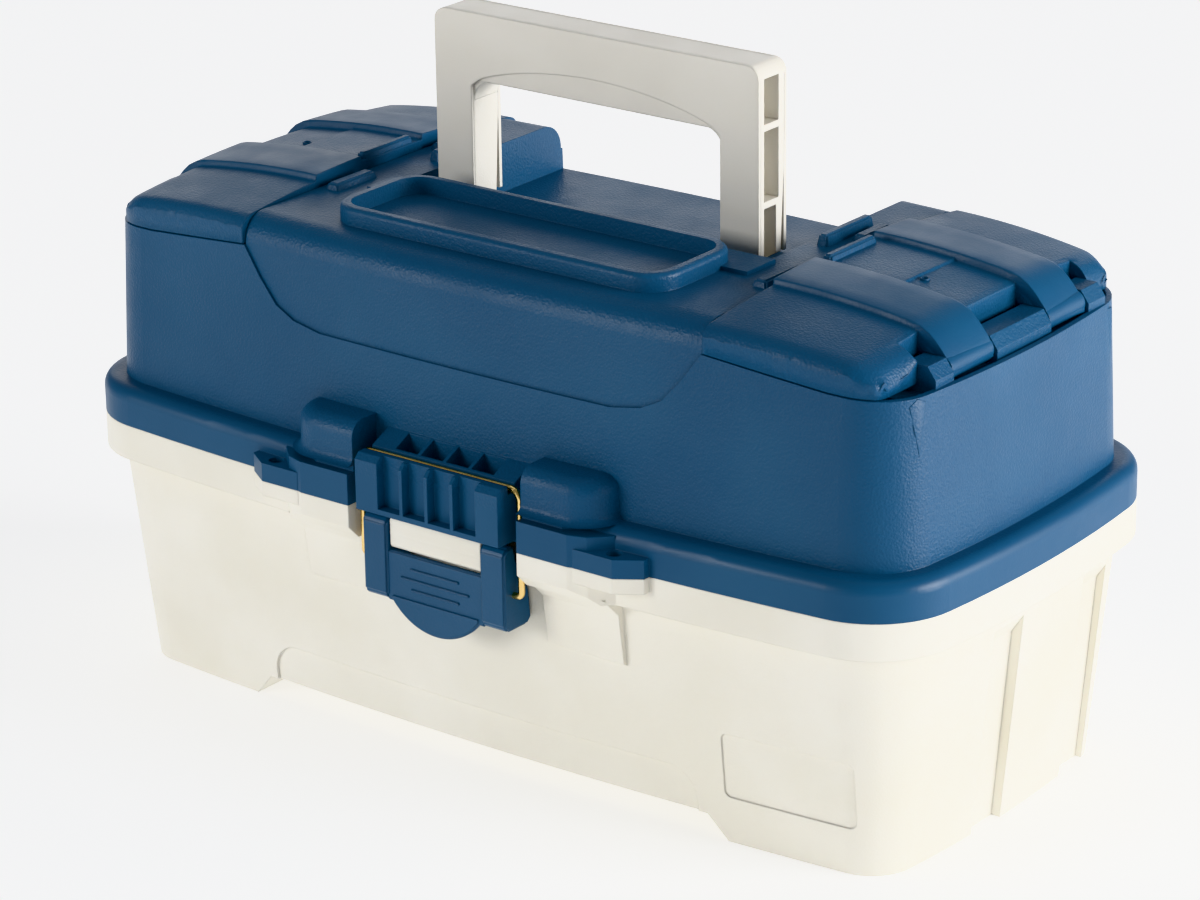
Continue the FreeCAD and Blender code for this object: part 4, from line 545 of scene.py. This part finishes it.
def cover_edge_y(x):
    """Half depth of a cover's plan at a place along the length."""
    corner_x, corner_y, front = corner_place()
    radius = front - COVER_INSET
    straight = math.sqrt(radius ** 2 - x ** 2) - (front - HALF_DEPTH)
    if x <= corner_x:
        return straight
    around = corner_y + math.sqrt(max((CORNER - COVER_INSET) ** 2 - (x - corner_x) ** 2, 0))
    turn_start = COVER_PANEL_END - COVER_TURN
    if x <= turn_start:
        return min(straight, around)
    beyond = min((x - turn_start) / COVER_TURN, 1.0)
    turned = cover_edge_y(turn_start) - COVER_TURN * (1 - math.sqrt(1 - beyond ** 2))
    return min(straight, around, turned)


def cover_border():
    """Points of a cover's plan along its front, round the corner and along its outer end."""
    length = COVER_PANEL_END - COVER_START
    steps = [COVER_START + length * number / BORDER_STEPS for number in range(BORDER_STEPS + 1)]
    border = [(x, cover_edge_y(x)) for x in steps]
    end_y = border[-1][1]
    return border + [(COVER_PANEL_END, end_y - inward) for inward in range(1, BORDER_END + 1)]


def nose_drop(x, y, border):
    """How far the rounded nose lies below the panel, from the distance to the plan's border."""
    gap = min(math.hypot(x - a, abs(y) - b) for a, b in border)
    if gap >= COVER_NOSE:
        return 0.0
    return COVER_NOSE - math.sqrt(COVER_NOSE ** 2 - (COVER_NOSE - gap) ** 2)


def hump(share):
    """Parabola that is 1 half way and 0 at both ends."""
    return 4 * share * (1 - share)


def cover_arch(x):
    """Height of a cover's middle line: a low arch, then a fall that grows steeper at the end."""
    share = (x - COVER_START) / (COVER_SHOULDER - COVER_START)
    if share <= 1:
        return COVER_TOP - COVER_FALL * share + COVER_ARCH * hump(share)
    run = x - COVER_SHOULDER
    return COVER_TOP - COVER_FALL - END_SLOPE * run - END_CURVE * run ** 2


def cover_crown(y):
    """Change of a cover's height across its depth."""
    share = abs(y) / (HALF_DEPTH - COVER_INSET)
    return -COVER_DROP * share + COVER_CROWN * hump(share)


def along(points, share):
    """Place on a smooth line through the points."""
    count = len(points) - 1
    number = min(int(share * count), count - 1)
    t = share * count - number
    before = points[max(number - 1, 0)]
    start, end = points[number], points[number + 1]
    after = points[min(number + 2, count)]
    return tuple(0.5 * (2 * b + (c - a) * t + (2 * a - 5 * b + 4 * c - d) * t ** 2
                        + (3 * b - a - 3 * c + d) * t ** 3)
                 for a, b, c, d in zip(before, start, end, after))


def strap_knots(start, end):
    """Columns across a strap and just beside it: place, end and share of the strap's height."""
    rise = [(start + offset, offset, share) for offset, share in STRAP_SIDE]
    fall = [(end - offset, offset, share) for offset, share in STRAP_SIDE]
    knots = [(y, COVER_NOTCH_END if offset < 0 else None, share) for y, offset, share in rise + fall]
    knots += [(start + (end - start) * part, None, 1.0) for part in STRAP_PART_SHARES]
    return knots + [(end + BESIDE_STRAP, COVER_NOTCH_END, 0.0)]


def cover_columns():
    """Columns of a cover from its front to its rear: place, end, share of the strap, nose share."""
    columns = [(NOTCH_FRONT, COVER_PANEL_END, 0.0, -share) for share in reversed(NOSE_SHARES)]
    plain = (NOTCH_FRONT + NOTCH_EDGE, *BETWEEN_STRAPS, NOTCH_REAR - NOTCH_EDGE)
    knots = [(y, COVER_NOTCH_END, 0.0) for y in plain]
    for start, end in STRAPS:
        knots += strap_knots(start, end)
    columns += [(y, end, share, 0.0) for y, end, share in sorted(knots, key=lambda knot: knot[0])]
    return columns + [(NOTCH_REAR, COVER_PANEL_END, 0.0, share) for share in NOSE_SHARES]


def cover_point(row, column, border):
    """Point of a cover's top surface at a row and a column."""
    y, end, strap, nose = column
    common = len(COVER_ROWS)
    if row < common:
        x = COVER_ROWS[row]
    elif end is None:
        x, z = along(STRAP_ROLL, END_SHARES[row - common])
        return x, y, z + cover_crown(y)
    else:
        x = COVER_SHOULDER + (end - COVER_SHOULDER) * END_SHARES[row - common]
    if nose:
        y += (math.copysign(cover_edge_y(x), nose) - y) * abs(nose)
    drop = STRAP_HEIGHT * (1 - strap)
    if STRAPS[0][1] < y < STRAPS[1][0] and x > PANEL_STEP:
        drop += PANEL_STEP_DEPTH * (1 - strap)
    return x, y, cover_arch(x) + cover_crown(y) - drop - nose_drop(x, y, border)


def cover_low(x):
    """Height of the lower edge of a cover's sides."""
    for (x_a, z_a), (x_b, z_b) in zip(COVER_LOW, COVER_LOW[1:]):
        if x <= x_b:
            return z_a + (z_b - z_a) * (x - x_a) / (x_b - x_a)
    return COVER_LOW[-1][1]


def cover_shell(name, side):
    """Top surface of a cover with its sides, not yet thick."""
    border = cover_border()
    columns = cover_columns()
    rows = len(COVER_ROWS) + len(END_SHARES)
    points = [cover_point(row, column, border) for column in columns for row in range(rows)]
    faces = grid_faces(len(columns), rows)
    rim = grid_rim(len(columns), rows)
    first = len(points)
    for corner in rim:
        x, y, z = points[corner]
        points.append((x, y, min(cover_low(x), z - LEAST_SIDE)))
    for number, corner in enumerate(rim):
        following = (number + 1) % len(rim)
        faces.append((corner, rim[following], first + following, first + number))
    return mesh_of(name, points, faces, side)


def add_rod(points, faces, x, z, y_low, y_high, radius):
    """A closed round rod along Y."""
    first = len(points)
    points += [(a, y, b) for y in (y_low, y_high) for a, b in circle(x, z, radius, ROD_SIDES)]
    made = ring_faces(2, ROD_SIDES) + [tuple(range(ROD_SIDES)), tuple(range(ROD_SIDES, 2 * ROD_SIDES))]
    faces += [tuple(first + number for number in face) for face in made]


def add_cover(name, side, finish):
    """Cover with arched top, rounded nose, raised straps that roll over the end, and its pins."""
    shell = new_piece(name + "_shell", cover_shell(name, side), name, finish, (name,))
    thick = shell.modifiers.new("wall", "SOLIDIFY")
    thick.thickness = COVER_WALL * MM
    thick.offset = -1
    points, faces = [], []
    for start, end in STRAPS:
        add_rod(points, faces, *COVER_PIVOT, start, end, KNUCKLE_RADIUS)
        add_rod(points, faces, *COVER_PIVOT, start - PIN_REACH, end + PIN_REACH, PIN_RADIUS)
    rods = mesh_of(name + "_rods", points, faces, side)
    new_piece(name + "_knuckles", rods, name, finish, (name,))
    add_bar(name + "_finger_lip", FINGER_LIP, side, name, finish)


def add_bar(name, spans, side, body, finish):
    """Low bar with sloped, rounded sides."""
    (x_low, x_high), (y_low, y_high), (z_low, z_high) = spans
    lean = (x_high - x_low) * BAR_LEAN_SHARE
    points = []
    for z, inset in ((z_low, 0.0), (z_high, lean)):
        points += [(x_low + inset, y_low + inset, z), (x_high - inset, y_low + inset, z),
                   (x_high - inset, y_high - inset, z), (x_low + inset, y_high - inset, z)]
    mesh = mesh_of(name, points, prism_faces(len(points) // 2), side)
    soften(mesh, BAR_ROUND)
    new_piece(name, mesh, body, finish)


def lever_piece(mesh, size, finish):
    """Softened piece of the latch lever."""
    soften(mesh, size)
    new_piece(mesh.name, mesh, "latch_lever", finish, ("latch_lever",))


def tab_outline():
    """Outline of the finger tab: an arc below, and a straight top inside the panel."""
    rise = TAB_HIGH - TAB_LOW
    radius = (TAB_HALF ** 2 + rise ** 2) / (2 * rise)
    sweep = math.asin(TAB_HALF / radius)
    outline = []
    for number in range(TAB_STEPS + 1):
        turn = -sweep + 2 * sweep * number / TAB_STEPS
        outline.append((radius * math.sin(turn), TAB_LOW + radius * (1 - math.cos(turn))))
    return outline + [(TAB_HALF, TAB_HIGH + TAB_OVERLAP), (-TAB_HALF, TAB_HIGH + TAB_OVERLAP)]


def add_lever(finish):
    """Latch lever: two posts, the panel between them with raised lines, and the arched finger tab."""
    for side, label in ((1, "right"), (-1, "left")):
        places = sorted((POST_INNER * side, LEVER_HALF * side))
        lever_piece(side_prism(f"lever_post_{label}", POST_SIDE, places), POST_ROUND, finish)
    (low, high), (front, back) = PANEL_HEIGHTS, PANEL_DEPTH
    shape = [(front, low), (front, high), (back, high), (back, low)]
    reach = POST_INNER + PANEL_OVERLAP
    lever_piece(side_prism("lever_panel", shape, (-reach, reach)), PANEL_ROUND, finish)
    lever_piece(front_prism("lever_tab", tab_outline(), TAB_DEPTH), TAB_ROUND, finish)
    depths = (front - GRIP_PROUD, front + GRIP_PROUD)
    for number, (height, half) in enumerate(GRIP_LINES, 1):
        outline = [(half, height - GRIP_HALF), (half, height + GRIP_HALF),
                   (-half, height + GRIP_HALF), (-half, height - GRIP_HALF)]
        lever_piece(front_prism(f"lever_line_{number}", outline, depths), GRIP_ROUND, finish)


def dome_outline(grow):
    """Plan of a dome on the right side, from its flat side at the latch round to the lid's wall."""
    outer, front, radius = DOME_OUTER + grow, DOME_FRONT + grow, DOME_SIDE + grow
    turned = quarter(outer - radius, -front + radius, radius, -90.0, DOME_SIDE_STEPS)
    return [(DOME_INNER, -DOME_BACK), (DOME_INNER, -front), *turned, (outer, -DOME_BACK)]


def add_dome(label, side, finish):
    """Rounded dome that sweeps down into the flange."""
    rings = [(DOME_SWEEP * (1 - math.sin(turn)), DOME_FOOT + DOME_SWEEP * (1 - math.cos(turn)))
             for turn in quarter_turns(0.0, DOME_SWEEP_STEPS)]
    rings += [(-DOME_ROUND * (1 - math.cos(turn)), DOME_TOP - DOME_ROUND * (1 - math.sin(turn)))
              for turn in quarter_turns(0.0, DOME_ROUND_STEPS)]
    points = [(x, y, z) for grow, z in rings for x, y in dome_outline(grow)]
    count = len(dome_outline(0))
    faces = grid_faces(len(rings), count)
    faces.append(tuple(range(len(points) - count, len(points))))
    mesh = mesh_of(f"dome_{label}", points, faces, side)
    new_piece(f"dome_{label}", mesh, "lid", finish)


def skin_outline():
    """Outline of the handle's front with its arched lower edge."""
    inner = HANDLE_HALF - HANDLE_LEG
    corner = HANDLE_CORNER
    arch = []
    for number in range(ARCH_STEPS + 1):
        share = number / ARCH_STEPS
        rise = (ARCH_RISE + ARCH_DIP) * math.sin(math.pi * share) ** ARCH_POWER
        arch.append((inner - 2 * inner * share, HANDLE_UNDER - ARCH_DIP + rise))
    outline = [(-HANDLE_HALF, HANDLE_LOW), (-inner, HANDLE_LOW), *reversed(arch)]
    outline += [(inner, HANDLE_LOW), (HANDLE_HALF, HANDLE_LOW)]
    outline += quarter(HANDLE_HALF - corner, HANDLE_TOP - corner, corner, 0.0)
    return outline + quarter(-HANDLE_HALF + corner, HANDLE_TOP - corner, corner, 90.0)


def gusset_outline(side):
    """Outline of a rounded inner corner of the handle."""
    inner = HANDLE_HALF - HANDLE_LEG
    gusset, overlap = HANDLE_GUSSET, GUSSET_OVERLAP
    shape = [(inner + overlap, HANDLE_UNDER + overlap), (inner - gusset, HANDLE_UNDER + overlap)]
    shape += reversed(quarter(inner - gusset, HANDLE_UNDER - gusset, gusset, 0.0))
    shape += [(inner + overlap, HANDLE_UNDER - gusset)]
    return [(x * side, z) for x, z in shape]


def add_handle_skins(finish):
    """Front and rear skins of the handle with arched lower edges, and the round inner corners."""
    low, high = (value / MM for value in (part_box("handle")[0][1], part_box("handle")[1][1]))
    for name, depth in (("handle_front_skin", low), ("handle_rear_skin", high)):
        mesh = front_prism(name, skin_outline(), (depth - SKIN, depth + SKIN))
        new_piece(name, mesh, "handle", finish)
    for side, label in ((1, "right"), (-1, "left")):
        name = f"handle_corner_{label}"
        mesh = front_prism(name, gusset_outline(side), (low + SKIN, high - SKIN))
        new_piece(name, mesh, "handle", finish)


def add_mark(name, place, side, body, finish):
    """Low round ridge that a mould's pin leaves."""
    x, y, z = place
    edge = MARK_PROUD * MARK_EDGE_SHARE
    sections = ((MARK_OUTER, -MARK_PROUD), (MARK_OUTER, edge), ((MARK_OUTER + MARK_INNER) / 2, MARK_PROUD),
                (MARK_INNER, edge), (MARK_INNER, -MARK_PROUD))
    points = [(a, b, z + rise) for radius, rise in sections for a, b in circle(x, y, radius, MARK_SIDES)]
    mesh = mesh_of(name, points, ring_faces(len(sections), MARK_SIDES), side)
    new_piece(name, mesh, body, finish)


def add_corner_fill(label, side, finish):
    """Blends the proud corner of the lid's end block into the wall."""
    rim = ((1, 2), (2, 3), (3, 4), (4, 1))
    faces = [(tip, start, end) for tip in (0, 5) for start, end in rim]
    mesh = mesh_of(f"corner_fill_{label}", CORNER_FILL, faces, side)
    new_piece(f"corner_fill_{label}", mesh, "lid", finish)


def add_own_pieces(finishes):
    """Pieces that only the scene has."""
    add_cover("right_cover", 1, finishes["right_cover"])
    add_cover("left_cover", -1, finishes["left_cover"])
    for side, label in ((1, "right"), (-1, "left")):
        for name, spans in LID_BARS.items():
            add_bar(f"{name}_{label}", spans, side, "lid", finishes["lid_shell"])
        add_dome(label, side, finishes["lid_shell"])
        add_corner_fill(label, side, finishes["lid_shell"])
        add_mark(f"{label}_cover_mark", PANEL_MARK, side, f"{label}_cover",
                 finishes[f"{label}_cover"])
    add_lever(finishes["latch_lever"])
    add_handle_skins(finishes["handle"])


def add_camera():
    """Camera at the photograph's place, angle and lens."""
    sin_az, cos_az = math.sin(CAMERA_AZIMUTH), math.cos(CAMERA_AZIMUTH)
    sin_el, cos_el = math.sin(CAMERA_ELEVATION), math.cos(CAMERA_ELEVATION)
    back = Vector((sin_az * cos_el, -cos_az * cos_el, sin_el))
    right = Vector((cos_az, sin_az, 0.0))
    up = back.cross(right)
    turn_cos, turn_sin = math.cos(CAMERA_ROLL), math.sin(CAMERA_ROLL)
    rolled_right = right * turn_cos + up * turn_sin
    rolled_up = up * turn_cos - right * turn_sin
    data = bpy.data.cameras.new("camera")
    data.sensor_width = SENSOR_WIDTH
    data.lens = FOCAL_PIXELS / IMAGE_WIDTH * SENSOR_WIDTH
    camera = bpy.data.objects.new("camera", data)
    turn = Matrix((rolled_right, rolled_up, back)).transposed().to_4x4()
    camera.matrix_world = Matrix.Translation(CAMERA_AIM + back * CAMERA_DISTANCE) @ turn
    bpy.context.scene.collection.objects.link(camera)
    bpy.context.scene.camera = camera


def add_light(name, place, size, power):
    """Rectangular light that faces the box."""
    data = bpy.data.lights.new(name, "AREA")
    data.shape = "RECTANGLE"
    data.size, data.size_y = size
    data.energy = power
    light = bpy.data.objects.new(name, data)
    direction = LIGHT_AIM - Vector(place)
    turn = direction.to_track_quat("-Z", "Y").to_matrix().to_4x4()
    light.matrix_world = Matrix.Translation(Vector(place)) @ turn
    bpy.context.scene.collection.objects.link(light)


def add_stage():
    """Pale floor, pale surroundings and soft lights."""
    bpy.ops.mesh.primitive_plane_add(size=FLOOR_SIZE, location=(0, 0, 0))
    floor = bpy.context.object
    floor.name = "floor"
    paper = Nodes("floor_paper")
    grain = paper.noise(paper.place(), FLOOR_GRAIN_SCALE)
    flat = paper.add("NewGeometry").outputs["Normal"]
    paper.set("Base Color", FLOOR)
    paper.set("Roughness", FLOOR_ROUGHNESS)
    paper.set("Emission Color", FLOOR)
    paper.set("Emission Strength", FLOOR_GLOW)
    paper.set("Normal", paper.bump(grain, FLOOR_GRAIN, FLOOR_GRAIN_HEIGHT, flat))
    floor.data.materials.append(paper.material)
    world = bpy.data.worlds.new("studio")
    world.use_nodes = True
    sky = world.node_tree.nodes["Background"]
    sky.inputs["Color"].default_value = SKY
    sky.inputs["Strength"].default_value = SKY_STRENGTH
    bpy.context.scene.world = world
    for name, (place, size, power) in LIGHTS.items():
        add_light(name, place, size, power)


def main():
    add_camera()
    add_own_pieces(dress_nodes())
    add_stage()
    bpy.context.scene.view_settings.view_transform = "Khronos PBR Neutral"


main()
